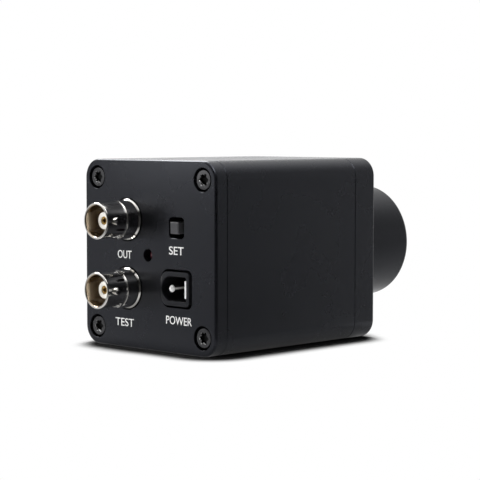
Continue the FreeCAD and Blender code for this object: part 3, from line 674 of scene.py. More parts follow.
class Effects:
    """Surface effects that several finishes share, as node groups."""

    GRAIN_DETAIL = 3.0
    DRIFT_DETAIL = 4.0
    PIT_SHARE = 0.6
    BEVEL_SAMPLES = 6
    STREAK_SCALE = 0.12

    def __init__(self) -> None:
        """Builds each group once."""
        self.grain = self.make_grain()
        self.drift = self.make_drift()
        self.wear = self.make_wear()
        self.lines = self.make_lines()

    @staticmethod
    def place(graph: Graph) -> Socket:
        """Place on the piece, in the object's own frame."""
        return graph.add("ShaderNodeTexCoord").outputs["Object"]

    def make_grain(self) -> bpy.types.NodeTree:
        """Fine blasted or moulded grain: a height, and flecks for its colour.

        Returns:
            The group.
        """
        inputs = {"Scale": 9000.0, "Fleck": 0.5}
        graph, given, result = open_group("fine_grain", inputs, ("Height", "Flecks"))
        place = self.place(graph)
        noise = graph.noise(place, given["Scale"], self.GRAIN_DETAIL)
        cells = graph.add("ShaderNodeTexVoronoi", {"Vector": place, "Scale": given["Scale"]})
        pits = graph.math("MULTIPLY", cells.outputs["Distance"], self.PIT_SHARE)
        bright = graph.math("SUBTRACT", noise, NOISE_MEAN)
        flecks = graph.math("MULTIPLY", bright, given["Fleck"])
        height = graph.math("ADD", noise, pits)
        graph.feed(result, {"Height": height, "Flecks": graph.math("ADD", flecks, NOISE_MEAN)})
        return graph.tree

    def make_drift(self) -> bpy.types.NodeTree:
        """Slow change of tone over a surface, between two values.

        Returns:
            The group.
        """
        inputs = {"Scale": 80.0, "Low": 0.3, "High": 0.5}
        graph, given, result = open_group("tone_drift", inputs, ("Value",))
        noise = graph.noise(self.place(graph), given["Scale"], self.DRIFT_DETAIL)
        graph.feed(result, {"Value": graph.scaled(noise, NOISE_SPAN, given["Low"], given["High"])})
        return graph.tree

    def make_wear(self) -> bpy.types.NodeTree:
        """Mask of edges that handling has polished, broken up along their length.

        Returns:
            The group.
        """
        inputs = {"Radius": 0.3 * MM, "Gain": 3.0, "Breakup": 400.0}
        graph, given, result = open_group("edge_wear", inputs, ("Mask",))
        bevel = graph.add("ShaderNodeBevel", {"Radius": given["Radius"]}, samples=self.BEVEL_SAMPLES)
        facing = graph.add("ShaderNodeNewGeometry").outputs["Normal"]
        same = graph.vector("DOT_PRODUCT", bevel.outputs["Normal"], facing)["Value"]
        edge = graph.math("SUBTRACT", 1.0, same)
        noise = graph.noise(self.place(graph), given["Breakup"], self.GRAIN_DETAIL)
        strong = graph.math("MULTIPLY", edge, given["Gain"])
        broken = graph.math("MULTIPLY", strong, noise)
        graph.feed(result, {"Mask": graph.math("MINIMUM", broken, 1.0)})
        return graph.tree

    def make_lines(self) -> bpy.types.NodeTree:
        """Turning lines round a piece whose axis is along Y: a height, and streaks for its roughness.

        Returns:
            The group.
        """
        graph, given, result = open_group("turning_lines", {"Scale": 16000.0}, ("Height", "Streaks"))
        along = graph.add("ShaderNodeSeparateXYZ", {0: self.place(graph)}).outputs["Y"]
        for key, share in (("Height", 1.0), ("Streaks", self.STREAK_SCALE)):
            values = {"W": along, "Scale": graph.math("MULTIPLY", given["Scale"], share)}
            lines = graph.add("ShaderNodeTexNoise", values, noise_dimensions="1D")
            graph.feed(result, {key: lines.outputs["Fac"]})
        return graph.tree


class Surface(Graph):
    """Graph of a material: one Principled shader, with the shared effects at hand."""

    def __init__(self, name: str, effects: Effects, values: dict[str, Any]) -> None:
        """Starts the material.

        Args:
            name: Name of the material.
            effects: The shared node groups.
            values: Values for the shader's inputs.
        """
        self.material = bpy.data.materials.new(name)
        self.material.use_nodes = True
        super().__init__(self.material.node_tree)
        self.effects = effects
        self.shader = self.add("ShaderNodeBsdfPrincipled", values)
        self.add("ShaderNodeOutputMaterial", {"Surface": self.shader.outputs["BSDF"]})

    def paint(self, color: Socket) -> None:
        """Colours the surface."""
        self.feed(self.shader, {"Base Color": color})

    def roughen(self, roughness: Socket) -> None:
        """Sets the surface's roughness."""
        self.feed(self.shader, {"Roughness": roughness})

    def bump(self, height: Socket, depth: float) -> None:
        """Raises the surface by a height, depth metres at most."""
        bump = self.add("ShaderNodeBump", {"Height": height, "Strength": 1.0, "Distance": depth})
        self.feed(self.shader, {"Normal": bump.outputs["Normal"]})


@dataclass(frozen=True)
class Finish:
    """Finish of a surface: a Principled shader with detail from the shared effects."""

    slot: Slot | Extra
    color: Color
    roughness: float = 0.4
    metallic: float = 0.0
    specular: float = 0.5
    sheen: Color = WHITE

    def material(self, effects: Effects) -> bpy.types.Material:
        """Makes the material.

        Args:
            effects: The shared node groups.

        Returns:
            The material.
        """
        values = {
            "Base Color": self.color,
            "Roughness": self.roughness,
            "Metallic": self.metallic,
            "Specular IOR Level": self.specular,
            "Specular Tint": self.sheen,
        }
        surface = Surface(self.slot.value + "_finish", effects, values)
        self.detail(surface)
        return surface.material

    def detail(self, surface: Surface) -> None:
        """Adds what changes over the surface."""
        raise NotImplementedError

    def shaded(self, share: float) -> Color:
        """The finish's colour, lightened or darkened."""
        return (self.color[0] * share, self.color[1] * share, self.color[2] * share, 1.0)

    def drift(self, surface: Surface, scale: float, spread: float) -> None:
        """Lets the roughness drift over the surface, by a spread to either side."""
        low, high = self.roughness - spread, self.roughness + spread
        surface.roughen(surface.group(surface.effects.drift, Scale=scale, Low=low, High=high)["Value"])


@dataclass(frozen=True)
class GrainedFinish(Finish):
    """Surface with the fine grain of a spark-eroded mould."""

    grain_scale: float = 5000.0
    grain_depth: float = 0.006 * MM
    fleck: float = 0.8
    mottle: float = 0.15
    drift_scale: float = 150.0
    drift_spread: float = 0.06

    def detail(self, surface: Surface) -> None:
        """Grain, flecks, drift and wear.

        Args:
            surface: The material to add to.
        """
        grain = surface.group(surface.effects.grain, Scale=self.grain_scale, Fleck=self.fleck)
        dark, pale = self.shaded(1 - self.mottle), self.shaded(1 + self.mottle)
        surface.paint(self.worn(surface, surface.blend(grain["Flecks"], dark, pale)))
        surface.bump(grain["Height"], self.grain_depth)
        self.drift(surface, self.drift_scale, self.drift_spread)

    def worn(self, surface: Surface, color: Socket) -> Socket:
        """The colour after handling, which leaves moulded parts as they are."""
        return color


@dataclass(frozen=True)
class BlastedFinish(GrainedFinish):
    """Anodised or blackened metal over a blasted surface, polished a little along its edges."""

    grain_scale: float = 9000.0
    grain_depth: float = 0.001 * MM
    fleck: float = 1.2
    mottle: float = 0.25
    drift_scale: float = 70.0
    drift_spread: float = 0.05
    worn_share: float = 2.2
    wear_gain: float = 1.5

    def worn(self, surface: Surface, color: Socket) -> Socket:
        """The colour after handling, which brightens the edges."""
        mask = surface.group(surface.effects.wear, Gain=self.wear_gain)["Mask"]
        return surface.blend(mask, color, self.shaded(self.worn_share))


@dataclass(frozen=True)
class TurnedFinish(Finish):
    """Metal turned on a lathe, with fine lines round it and a little tarnish."""

    line_scale: float = 16000.0
    line_depth: float = 0.0006 * MM
    streak_share: float = 0.35
    tarnish_scale: float = 220.0
    tarnish_most: float = 0.6
    tarnish_share: float = 0.7

    def detail(self, surface: Surface) -> None:
        """Turning lines, streaks and tarnish.

        Args:
            surface: The material to add to.
        """
        lines = surface.group(surface.effects.lines, Scale=self.line_scale)
        surface.bump(lines["Height"], self.line_depth)
        spread = self.streak_share * self.roughness
        low, high = self.roughness - spread, self.roughness + spread
        surface.roughen(surface.scaled(lines["Streaks"], NOISE_SPAN, low, high))
        levels = {"Scale": self.tarnish_scale, "Low": 0.0, "High": self.tarnish_most}
        tarnish = surface.group(surface.effects.drift, **levels)["Value"]
        surface.paint(surface.blend(tarnish, self.color, self.shaded(self.tarnish_share)))


@dataclass(frozen=True)
class GlassFinish(Finish):
    """Clear glass or resin, coated or plain."""

    index: float = 1.52
    clear: float = 1.0
    coating_nm: float = 0.0
    coating_index: float = 1.38
    dust_scale: float = 120.0
    dust_share: float = 0.4

    def detail(self, surface: Surface) -> None:
        """Clearness, coating and a faint bloom of dust in the roughness.

        Args:
            surface: The material to add to.
        """
        values = {
            "Transmission Weight": self.clear,
            "IOR": self.index,
            "Thin Film Thickness": self.coating_nm,
            "Thin Film IOR": self.coating_index,
        }
        surface.feed(surface.shader, values)
        self.drift(surface, self.dust_scale, self.dust_share * self.roughness)


@dataclass(frozen=True)
class BoardFinish(Finish):
    """Lacquered circuit board, with tracks that stand out under the lacquer."""

    track_scale: float = 420.0
    track_span: Span = (0.55, 0.65)
    track_height: float = 0.02 * MM
    track_share: float = 1.9
    drift_scale: float = 200.0
    drift_spread: float = 0.08

    def detail(self, surface: Surface) -> None:
        """Tracks and drift.

        Args:
            surface: The material to add to.
        """
        values = {"Vector": surface.effects.place(surface), "Scale": self.track_scale}
        cells = surface.add("ShaderNodeTexVoronoi", values, distance="MANHATTAN", feature="F2")
        tracks = surface.scaled(cells.outputs["Distance"], self.track_span)
        surface.paint(surface.blend(tracks, self.color, self.shaded(self.track_share)))
        surface.bump(tracks, self.track_height)
        self.drift(surface, self.drift_scale, self.drift_spread)


class Palette:
    """Every finish of the camera, made once."""

    FINISHES: tuple[Finish, ...] = (
        BlastedFinish(Slot.BLACK_ANODISED, (0.006, 0.006, 0.0075, 1), 0.28, 0.0, 0.48, BLUISH),
        BlastedFinish(Slot.LENS_BLACK, (0.006, 0.006, 0.007, 1), 0.18, 0.0, 0.36, BLUISH),
        BlastedFinish(Slot.SCREW_BLACK, (0.078, 0.078, 0.082, 1), 0.24, 0.8, wear_gain=3.0),
        TurnedFinish(Slot.STEEL, (0.8, 0.79, 0.77, 1), 0.2, 1.0),
        TurnedFinish(Slot.NICKEL_PLATE, (0.9, 0.88, 0.84, 1), 0.09, 1.0, line_depth=0.0002 * MM),
        GrainedFinish(Slot.WHITE_INSULATOR, (0.96, 0.94, 0.88, 1), 0.35, grain_depth=0.003 * MM),
        TurnedFinish(Slot.GILT_CONTACT, (0.83, 0.55, 0.19, 1), 0.2, 1.0),
        TurnedFinish(Slot.BRASS_PILLAR, (0.72, 0.52, 0.22, 1), 0.28, 1.0),
        GrainedFinish(Slot.BLACK_MOULDING, (0.01, 0.01, 0.011, 1), 0.42, 0.0, 0.4, BLUISH),
        GrainedFinish(Slot.GREY_STEM, (0.07, 0.07, 0.075, 1), 0.38, 0.0, 0.15),
        GlassFinish(Slot.LAMP_RED, (0.11, 0.01, 0.025, 1), 0.12, clear=0.6),
        GlassFinish(
            Slot.LENS_GLASS, (0.97, 0.985, 0.99, 1), 0.01, sheen=BLOOMED, index=1.62, coating_nm=115.0
        ),
        GlassFinish(Slot.FILTER_GLASS, (0.62, 0.9, 0.84, 1), 0.02, coating_nm=90.0),
        BoardFinish(Slot.BOARD_GREEN, (0.006, 0.055, 0.024, 1), 0.3),
        GrainedFinish(Slot.CHIP_BLACK, (0.018, 0.018, 0.019, 1), 0.5),
        GrainedFinish(Slot.FLEX_FILM, (0.62, 0.33, 0.07, 1), 0.3, grain_depth=0.002 * MM),
        GrainedFinish(Extra.PANEL_INK, (0.82, 0.82, 0.81, 1), 0.55, grain_scale=7000.0),
        # Jack bores: darker and browner than the shell's plating, as painted shade and a painted warm
        # reflection.
        TurnedFinish(Extra.PLATED_BORE, (0.6, 0.495, 0.37, 1), 0.18, 1.0, line_depth=0.0003 * MM),
        TurnedFinish(Extra.WORN_EDGE, (0.34, 0.34, 0.345, 1), 0.2, 1.0, line_depth=0.0002 * MM),
        # Tin on the leaf contact; on the pin's nose the same white is a painted highlight.
        GrainedFinish(Extra.TINNED, (0.96, 0.96, 0.95, 1), 0.3, 0.25, grain_depth=0.002 * MM),
        # Screw recess walls: near black, a painted shade in the recess.
        GrainedFinish(Extra.OILED_RECESS, (0.006, 0.006, 0.006, 1), 0.45, 0.0, 0.2),
    )

    def __init__(self) -> None:
        """Makes the shared groups and every material."""
        effects = Effects()
        self.materials = {finish.slot: finish.material(effects) for finish in self.FINISHES}

    def __getitem__(self, slot: Slot | Extra) -> bpy.types.Material:
        """The material of a slot."""
        return self.materials[slot]


# Sub-assemblies


@dataclass(frozen=True)
class Extent:
    """Box that a solid fills in the frame."""

    low: Vector
    high: Vector

    @property
    def x(self) -> float:
        """Middle across."""
        return (self.low.x + self.high.x) / 2

    @property
    def z(self) -> float:
        """Middle in height."""
        return (self.low.z + self.high.z) / 2

    @property
    def width(self) -> float:
        """Size across."""
        return self.high.x - self.low.x

    @property
    def height(self) -> float:
        """Size in height."""
        return self.high.z - self.low.z


@dataclass
class Assembly:
    """Pieces that are built together, in the finishes of one palette."""

    palette: Palette

    def stand_in(
        self, shell: Shell, name: str, node: str, slot: Slot, *more: Slot | Extra, body: Body = Body.CAMERA
    ) -> None:
        """Ends a mesh, with its finishes by paint number, and seats it in the place of a solid."""
        finishes = [self.palette[finish] for finish in (slot, *more)]
        seat(shell.piece(name, *finishes), body, slot, node)


@dataclass
class Casing(Assembly):
    """Extruded sleeve with a cover on each end."""

    corner_radius: float = 5.0 * MM
    edge_round: float = 0.7 * MM
    seam_break: float = 0.15 * MM
    hole_break: float = 0.08 * MM
    head_bore_break: float = 0.06 * MM
    wall: float = 2.5 * MM
    front_wall: float = 3.5 * MM
    boss_radius: float = 3.4 * MM
    channel_radius: float = 1.27 * MM
    screw_inset: float = 4.85 * MM
    head_bore_radius: float = 3.15 * MM
    head_bore_depth: float = 2.5 * MM
    screw_hole_radius: float = 1.45 * MM
    stud_radius: float = 1.02 * MM
    stud_depth: float = 2.8 * MM
    pillar_inset: float = 3.5 * MM
    pillar_rise: float = 9.0 * MM
    nut_hole_radius: float = 4.52 * MM
    lens_bore_radius: float = 12.75 * MM
    lens_boss_wall: float = 2.3 * MM
    lens_boss_length: float = 6.0 * MM
    jack_hole_radius: float = 5.8 * MM
    lamp_hole_play: float = 0.15 * MM
    inlet_gap: float = 0.5 * MM

    def __post_init__(self) -> None:
        """Reads the casing's planes from the frame."""
        sleeve = Extent(*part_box("body_sleeve"))
        width, height = sleeve.width, sleeve.height
        self.middle = sleeve.z
        self.floor = sleeve.z - height / 2
        self.y_rear_seam, self.y_front_seam = sleeve.low.y, sleeve.high.y
        self.y_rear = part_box("rear_cover")[0].y
        self.y_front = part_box("front_cover")[1].y
        across = width / 2 - self.screw_inset
        rise = height / 2 - self.screw_inset
        self.screw_axes = [(sx * across, self.middle + sz * rise) for sx in (-1, 1) for sz in (-1, 1)]
        self.pillar_x = width / 2 - self.wall - self.pillar_inset
        self.section = RoundedBox(0.0, self.middle, width, height, self.corner_radius)
        inner_width, inner_height = width - 2 * self.wall, height - 2 * self.wall
        self.hollow = BossedHollow(
            0.0, self.middle, inner_width, inner_height, across, rise, self.boss_radius
        )

    def build(self, openings: Sequence[Outline]) -> None:
        """Builds the sleeve and its two covers.

        Args:
            openings: Outlines of the ports' openings in the rear cover.
        """
        self.build_sleeve()
        self.build_rear_cover(openings)
        self.build_front_cover()

    def cover_skin(self, shell: Shell, y_outside: float, y_seam: float) -> tuple[Ring, Ring]:
        """Outer skin of a cover, rounded outside and broken at its seam.

        Args:
            shell: The mesh to build in.
            y_outside: The cover's outer face.
            y_seam: Its face on the sleeve.

        Returns:
            The rings of the outer face and of the seam.
        """
        inward = math.copysign(1.0, y_seam - y_outside)
        stations = [(y_outside + inward * depth, inset) for depth, inset in quarter_round(self.edge_round)]
        stations += [(y_seam - inward * self.seam_break, 0.0), (y_seam, self.seam_break)]
        return shell.wall(self.section, stations)

    def hole(self, shell: Shell, outline: Outline, y_outside: float, y_inside: float) -> tuple[Ring, Ring]:
        """Through hole whose outer edge is broken, as its rings in the two faces."""
        y_edge = y_outside + math.copysign(self.hole_break, y_inside - y_outside)
        return shell.wall(outline, [(y_outside, -self.hole_break), (y_edge, 0.0), (y_inside, 0.0)])

    def screw_holes(self, shell: Shell, y_outside: float, y_seam: float) -> list[tuple[Ring, Ring]]:
        """Counterbored holes for a cover's screws.

        Args:
            shell: The mesh to build in.
            y_outside: The cover's outer face.
            y_seam: Its face on the sleeve.

        Returns:
            The rings of each hole in the two faces.
        """
        inward = math.copysign(1.0, y_seam - y_outside)
        y_edge = y_outside + inward * self.head_bore_break
        y_seat = y_outside + inward * self.head_bore_depth
        step = self.head_bore_radius - self.screw_hole_radius
        stations = [(y_outside, -self.head_bore_break), (y_edge, 0.0)]
        stations += [(y_seat, 0.0), (y_seat, step), (y_seam, step)]
        return [shell.wall(Round(x, z, self.head_bore_radius), stations) for x, z in self.screw_axes]

    def stud_holes(self, shell: Shell, y_face: float, inward: int, rises: Sequence[float]) -> list[Ring]:
        """Blind holes in a cover's inner face for the pillars' studs.

        Args:
            shell: The mesh to build in.
            y_face: The inner face.
            inward: Direction along Y into the cover.
            rises: Heights of the pillars above the middle.

        Returns:
            The ring of each hole in the face.
        """
        mouths = []
        stations = [(y_face, 0.0), (y_face + inward * self.stud_depth, 0.0)]
        for x in (-self.pillar_x, self.pillar_x):
            for rise in rises:
                mouth, floor = shell.wall(Round(x, self.middle + rise, self.stud_radius), stations)
                shell.flat(floor)
                mouths.append(mouth)
        return mouths

    def build_sleeve(self) -> None:
        """Square tube with screw channels and a hole for the tripod nut."""
        shell = Shell()
        y0, y1, edge = self.y_rear_seam, self.y_front_seam, self.seam_break
        skins = [shell.wall(self.section, [(y0, edge), (y0 + edge, 0.0), (y1 - edge, 0.0), (y1, edge)])]
        channels = [Round(x, z, self.channel_radius) for x, z in self.screw_axes]
        skins += [shell.wall(outline, [(y0, 0.0), (y1, 0.0)]) for outline in (self.hollow, *channels)]
        for end in zip(*skins):
            shell.flat(*end)
        shell.pierce(self.floor, self.floor + self.wall, self.nut_hole_radius)
        self.stand_in(shell, "sleeve_tube", "body_sleeve", Slot.BLACK_ANODISED)

    def build_rear_cover(self, openings: Sequence[Outline]) -> None:
        """Flat plate with an opening for every port.

        Args:
            openings: Outlines of the ports' openings.
        """
        shell = Shell()
        y0, y1 = self.y_rear, self.y_rear_seam
        skins = [self.cover_skin(shell, y0, y1)] + self.screw_holes(shell, y0, y1)
        skins += [self.hole(shell, outline, y0, y1) for outline in openings]
        outer, inner = zip(*skins)
        shell.flat(*outer)
        shell.flat(*inner, *self.stud_holes(shell, y1, -1, (0.0,)))
        self.stand_in(shell, "rear_plate", "rear_cover", Slot.BLACK_ANODISED)

    def build_front_cover(self) -> None:
        """Deep cover, hollow behind its face, with a bossed bore for the lens."""
        shell = Shell()
        y0, y1 = self.y_front, self.y_front_seam
        y_inside = y0 - self.front_wall
        y_boss = y0 - self.lens_boss_length
        bore = Round(0.0, self.middle, self.lens_bore_radius)
        boss = Round(0.0, self.middle, self.lens_bore_radius + self.lens_boss_wall)
        skins = [self.cover_skin(shell, y0, y1)] + self.screw_holes(shell, y0, y1)
        outer, seam = zip(*skins)
        bore_mouth, bore_end = shell.wall(bore, [(y0, 0.0), (y_boss, 0.0)])
        hollow_mouth, hollow_floor = shell.wall(self.hollow, [(y1, 0.0), (y_inside, 0.0)])
        boss_root, boss_end = shell.wall(boss, [(y_inside, 0.0), (y_boss, 0.0)])
        shell.flat(*outer, bore_mouth)
        shell.flat(*seam, hollow_mouth)
        studs = self.stud_holes(shell, y_inside, 1, (-self.pillar_rise, self.pillar_rise))
        shell.flat(hollow_floor, boss_root, *studs)
        shell.bridge(boss_end, bore_end)
        self.stand_in(shell, "front_plate", "front_cover", Slot.BLACK_ANODISED)


@dataclass
class CoverScrews(Assembly):
    """The four pan-head screws of one cover."""

    end: CoverEnd
    shank_radius: float = 1.25 * MM
    point_share: float = 0.4
    head_radius: float = 2.55 * MM
    head_height: float = 2.1 * MM
    head_round: float = 0.18 * MM
    lobe_circle: float = 1.14 * MM
    lobe_radius: float = 0.4 * MM
    recess_depth: float = 1.1 * MM
    recess_break: float = 0.2 * MM
    drill_point: float = 0.3 * MM

    def build(self, axes: Sequence[tuple[float, float]]) -> None:
        """Builds the four screws as one piece.

        Args:
            axes: Places of the screws.
        """
        name = self.end.name.lower()
        node = f"{name}_cover_screws"
        low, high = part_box(node)
        y_top, y_tip = (low.y, high.y) if self.end is CoverEnd.REAR else (high.y, low.y)
        shell = Shell()
        for x, z in axes:
            self.build_screw(shell, x, z, y_top, y_tip)
            self.paint_recess(shell, Vector((x, y_top, z)))
        # Second finish: the recess edge worn bright; third: the recess walls painted near black as painted
        # shade.
        more = (Extra.WORN_EDGE, Extra.OILED_RECESS)
        self.stand_in(shell, f"{name}_screws", node, Slot.SCREW_BLACK, *more)

    def build_screw(self, shell: Shell, x: float, z: float, y_top: float, y_tip: float) -> None:
        """One screw, from the tip of its shank to the floor of its recess.

        Args:
            shell: The mesh to build in.
            x: Place of the screw.
            z: Place of the screw.
            y_top: Top of the head.
            y_tip: Tip of the shank.
        """
        inward = math.copysign(1.0, y_tip - y_top)
        head = Round(x, z, self.head_radius)
        recess = SixLobe(x, z, self.lobe_circle, self.lobe_radius)
        y_seat = y_top + inward * self.head_height
        y_edge = y_top + inward * self.recess_break
        y_floor = y_top + inward * self.recess_depth
        neck = self.head_radius - self.shank_radius
        point = self.point_share * self.shank_radius
        rounding = quarter_round(self.head_round)[::-1]
        sections = [(head, y_tip, neck + point), (head, y_tip - inward * point, neck)]
        sections += [(head, y_seat, neck), (head, y_seat, 0.0)]
        sections += [(head, y_top + inward * depth, inset) for depth, inset in rounding]
        sections += [(recess, y_top, -self.recess_break), (recess, y_edge, 0.0), (recess, y_floor, 0.0)]
        first, last = shell.loft(sections)
        shell.tip(first, (x, y_tip, z))
        shell.tip(last, (x, y_floor + inward * self.drill_point, z))

    def paint_recess(self, shell: Shell, middle: Vector) -> None:
        """Marks the broken edge of a recess, worn bright by the driver, and paints the walls below it near
        black as painted shade.

        Args:
            shell: The mesh with the screw in it.
            middle: Middle of the recess in the head's face.
        """
        widest = self.lobe_circle + self.lobe_radius + self.recess_break
        edge = NEARLY_ALL * self.recess_break
        deepest = self.recess_depth + self.drill_point

        def within(place: Vector, depth: float) -> bool:
            """Whether a place is in the recess, down to a depth."""
            off = place - middle
            return math.hypot(off.x, off.z) < widest and 0.0 < abs(off.y) < depth

        shell.repaint(THIRD_PAINT, lambda place: within(place, deepest))
        shell.repaint(SECOND_PAINT, lambda place: within(place, edge))


@dataclass
class CoaxialJack(Assembly):
    """Bayonet jack: a plated shell, a white insulator and a gilt contact."""

    place: JackPlace
    barrel_radius: float = 4.8 * MM
    bore_radius: float = 4.1 * MM
    bore_depth: float = 8.6 * MM
    rim_break: float = 0.22 * MM
    lug_radius: float = 1.0 * MM
    lug_reach: float = 5.55 * MM
    lug_depth: float = 2.85 * MM
    lug_round: float = 0.15 * MM
    step_depth: float = 6.1 * MM
    collar_step: float = 0.3 * MM
    collar_slope: float = 0.75 * MM
    ring_radius: float = 5.45 * MM
    ring_depth: float = 10.5 * MM
    base_depth: float = 15.4 * MM
    base_width: float = 12.0 * MM
    base_round: float = 1.0 * MM
    leg_radius: float = 0.5 * MM
    leg_offset: float = 4.6 * MM
    insulator_hole: float = 2.6 * MM
    insulator_body: float = 2.55 * MM
    insulator_nose: float = 2.25 * MM
    insulator_flange: float = 1.0 * MM
    insulator_play: float = 0.05 * MM
    contact_bore: float = 0.6 * MM
    contact_depth: float = 4.5 * MM
    contact_floor: float = 0.6 * MM
    contact_cone: float = 0.3 * MM
    tail_radius: float = 0.55 * MM
    soft_edge: float = 0.06 * MM

    def __post_init__(self) -> None:
        """Reads the jack's axis and planes from the frame."""
        shell, insulator, contact = (
            Extent(*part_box(self.node(part))) for part in ("shell", "insulator", "contact")
        )
        self.x, self.z = shell.x, shell.z
        self.y_rim, self.y_tail = shell.low.y, shell.high.y
        self.y_floor = self.y_rim + self.bore_depth
        self.y_insulator, self.y_board = insulator.low.y, insulator.high.y
        self.y_contact = contact.low.y
        self.y_socket = self.y_contact + self.contact_depth
        self.contact_radius = contact.width / 2

    def node(self, part: str) -> str:
        """Name of the solid of one of the jack's parts."""
        return f"bnc_{part}_{self.place.value}"

    def panel_hole(self, radius: float) -> Outline:
        """Outline of the opening in the cover."""
        return Round(self.x, self.z, radius)

    def build(self) -> None:
        """Builds the shell, the insulator and the contact."""
        parts = (
            ("shell", self.build_shell(), (Slot.NICKEL_PLATE, Extra.PLATED_BORE)),
            ("insulator", self.build_insulator(), (Slot.WHITE_INSULATOR,)),
            ("contact", self.build_contact(), (Slot.GILT_CONTACT,)),
        )
        for part, shell, finishes in parts:
            self.stand_in(shell, f"jack_{part}_{self.place.value}", self.node(part), *finishes)

    def build_shell(self) -> Shell:
        """Barrel, collar, ring and square base in one skin, with lugs and legs.

        Returns:
            The mesh.
        """
        rim, soft = self.y_rim, self.soft_edge
        y_step = rim + self.step_depth
        y_ring = rim + self.ring_depth
        y_base = rim + self.base_depth
        collar_radius = self.barrel_radius + self.collar_step
        corners = [
            (self.insulator_hole, self.y_floor, 0.0),
            (self.bore_radius, self.y_floor, 0.0),
            (self.bore_radius, rim + self.rim_break, soft),
            (self.bore_radius + self.rim_break, rim, soft),
            (self.barrel_radius - self.rim_break, rim, soft),
            (self.barrel_radius, rim + self.rim_break, soft),
            (self.barrel_radius, y_step, 0.0),
            (collar_radius, y_step + self.collar_slope, soft),
            (collar_radius, y_ring, 0.0),
            (self.ring_radius, y_ring + self.ring_radius - collar_radius, soft),
            (self.ring_radius, y_base, 0.0),
        ]
        base = RoundedSquare(self.x, self.z, self.base_width, self.base_round)
        hole = Round(self.x, self.z, self.insulator_hole)
        profile = softened(corners, closed=False)
        sections: Sections = [(Round(self.x, self.z, r), y, 0.0) for r, y in profile]
        sections += [(base, y_base, 0.0), (base, self.y_board, 0.0), (hole, self.y_board, 0.0)]
        shell = Shell()
        shell.loft(sections, closed=True)
        # The bore's wall and inner edge are painted darker and browner: painted shade inside the barrel.
        shell.repaint(SECOND_PAINT, self.in_bore)
        leg = [(0.0, self.y_board), (self.leg_radius, self.y_board)]
        leg += [(self.leg_radius, self.y_tail), (0.0, self.y_tail)]
        for side in (-1, 1):
            self.add_lug(shell, side)
            for rise in (-1, 1):
                shell.turned(leg, self.x + side * self.leg_offset, self.z + rise * self.leg_offset)
        return shell

    def in_bore(self, place: Vector) -> bool:
        """Whether a place is on the wall or the inner edge of the bore, which take a darker, browner finish
        as painted shade.
        """
        reach = math.hypot(place.x - self.x, place.z - self.z)
        return reach < self.bore_radius + NEARLY_ALL * self.rim_break and self.y_rim < place.y < self.y_floor

    def add_lug(self, shell: Shell, side: int) -> None:
        """One bayonet lug: a short pin across the barrel with a soft end.

        Args:
            shell: The mesh to build in.
            side: Direction along X that the lug points to.
        """
        root = (self.bore_radius + self.barrel_radius) / 2
        corners = [
            (0.0, root, 0.0),
            (self.lug_radius, root, 0.0),
            (self.lug_radius, self.lug_reach, self.lug_round),
            (0.0, self.lug_reach, 0.0),
        ]
        standing = len(shell.mesh.verts)
        shell.turned(softened(corners, closed=False), 0.0, 0.0)
        turn = Matrix.Rotation(-side * math.pi / 2, 4, "Z")
        shift = Matrix.Translation((self.x, self.y_rim + self.lug_depth, self.z))
        bmesh.ops.transform(shell.mesh, matrix=shift @ turn, verts=list(shell.mesh.verts)[standing:])

    def build_insulator(self) -> Shell:
        """Nose round the contact on a flange, with a tail through the shell.

        Returns:
            The mesh.
        """
        play, soft = self.insulator_play, self.soft_edge
        y_flange = self.y_floor - self.insulator_flange
        bore = self.contact_radius + play
        corners = [
            (bore, self.y_insulator, soft),
            (self.insulator_nose, self.y_insulator, 2 * soft),
            (self.insulator_nose, y_flange, 0.0),
            (self.bore_radius - play, y_flange, soft),
            (self.bore_radius - play, self.y_floor, 0.0),
            (self.insulator_body, self.y_floor, 0.0),
            (self.insulator_body, self.y_board, 0.0),
            (self.tail_radius + play, self.y_board, 0.0),
            (self.tail_radius + play, self.y_socket, 0.0),
            (bore, self.y_socket, 0.0),
        ]
        shell = Shell()
        shell.turned(softened(corners), self.x, self.z)
        return shell

    def build_contact(self) -> Shell:
        """Socket with a countersunk mouth, and a solder tail.

        Returns:
            The mesh.
        """
        soft = self.soft_edge
        y_floor = self.y_socket - self.contact_floor
        corners = [
            (0.0, y_floor, 0.0),
            (self.contact_bore, y_floor - self.contact_cone, 0.0),
            (self.contact_bore, self.y_contact + 2 * soft, soft / 2),
            (self.contact_bore + 2 * soft, self.y_contact, soft / 2),
            (self.contact_radius, self.y_contact, soft),
            (self.contact_radius, self.y_socket, 0.0),
            (self.tail_radius, self.y_socket, 0.0),
            (self.tail_radius, self.y_tail, soft),
            (0.0, self.y_tail, 0.0),
        ]
        shell = Shell()
        shell.turned(softened(corners, closed=False), self.x, self.z)
        return shell


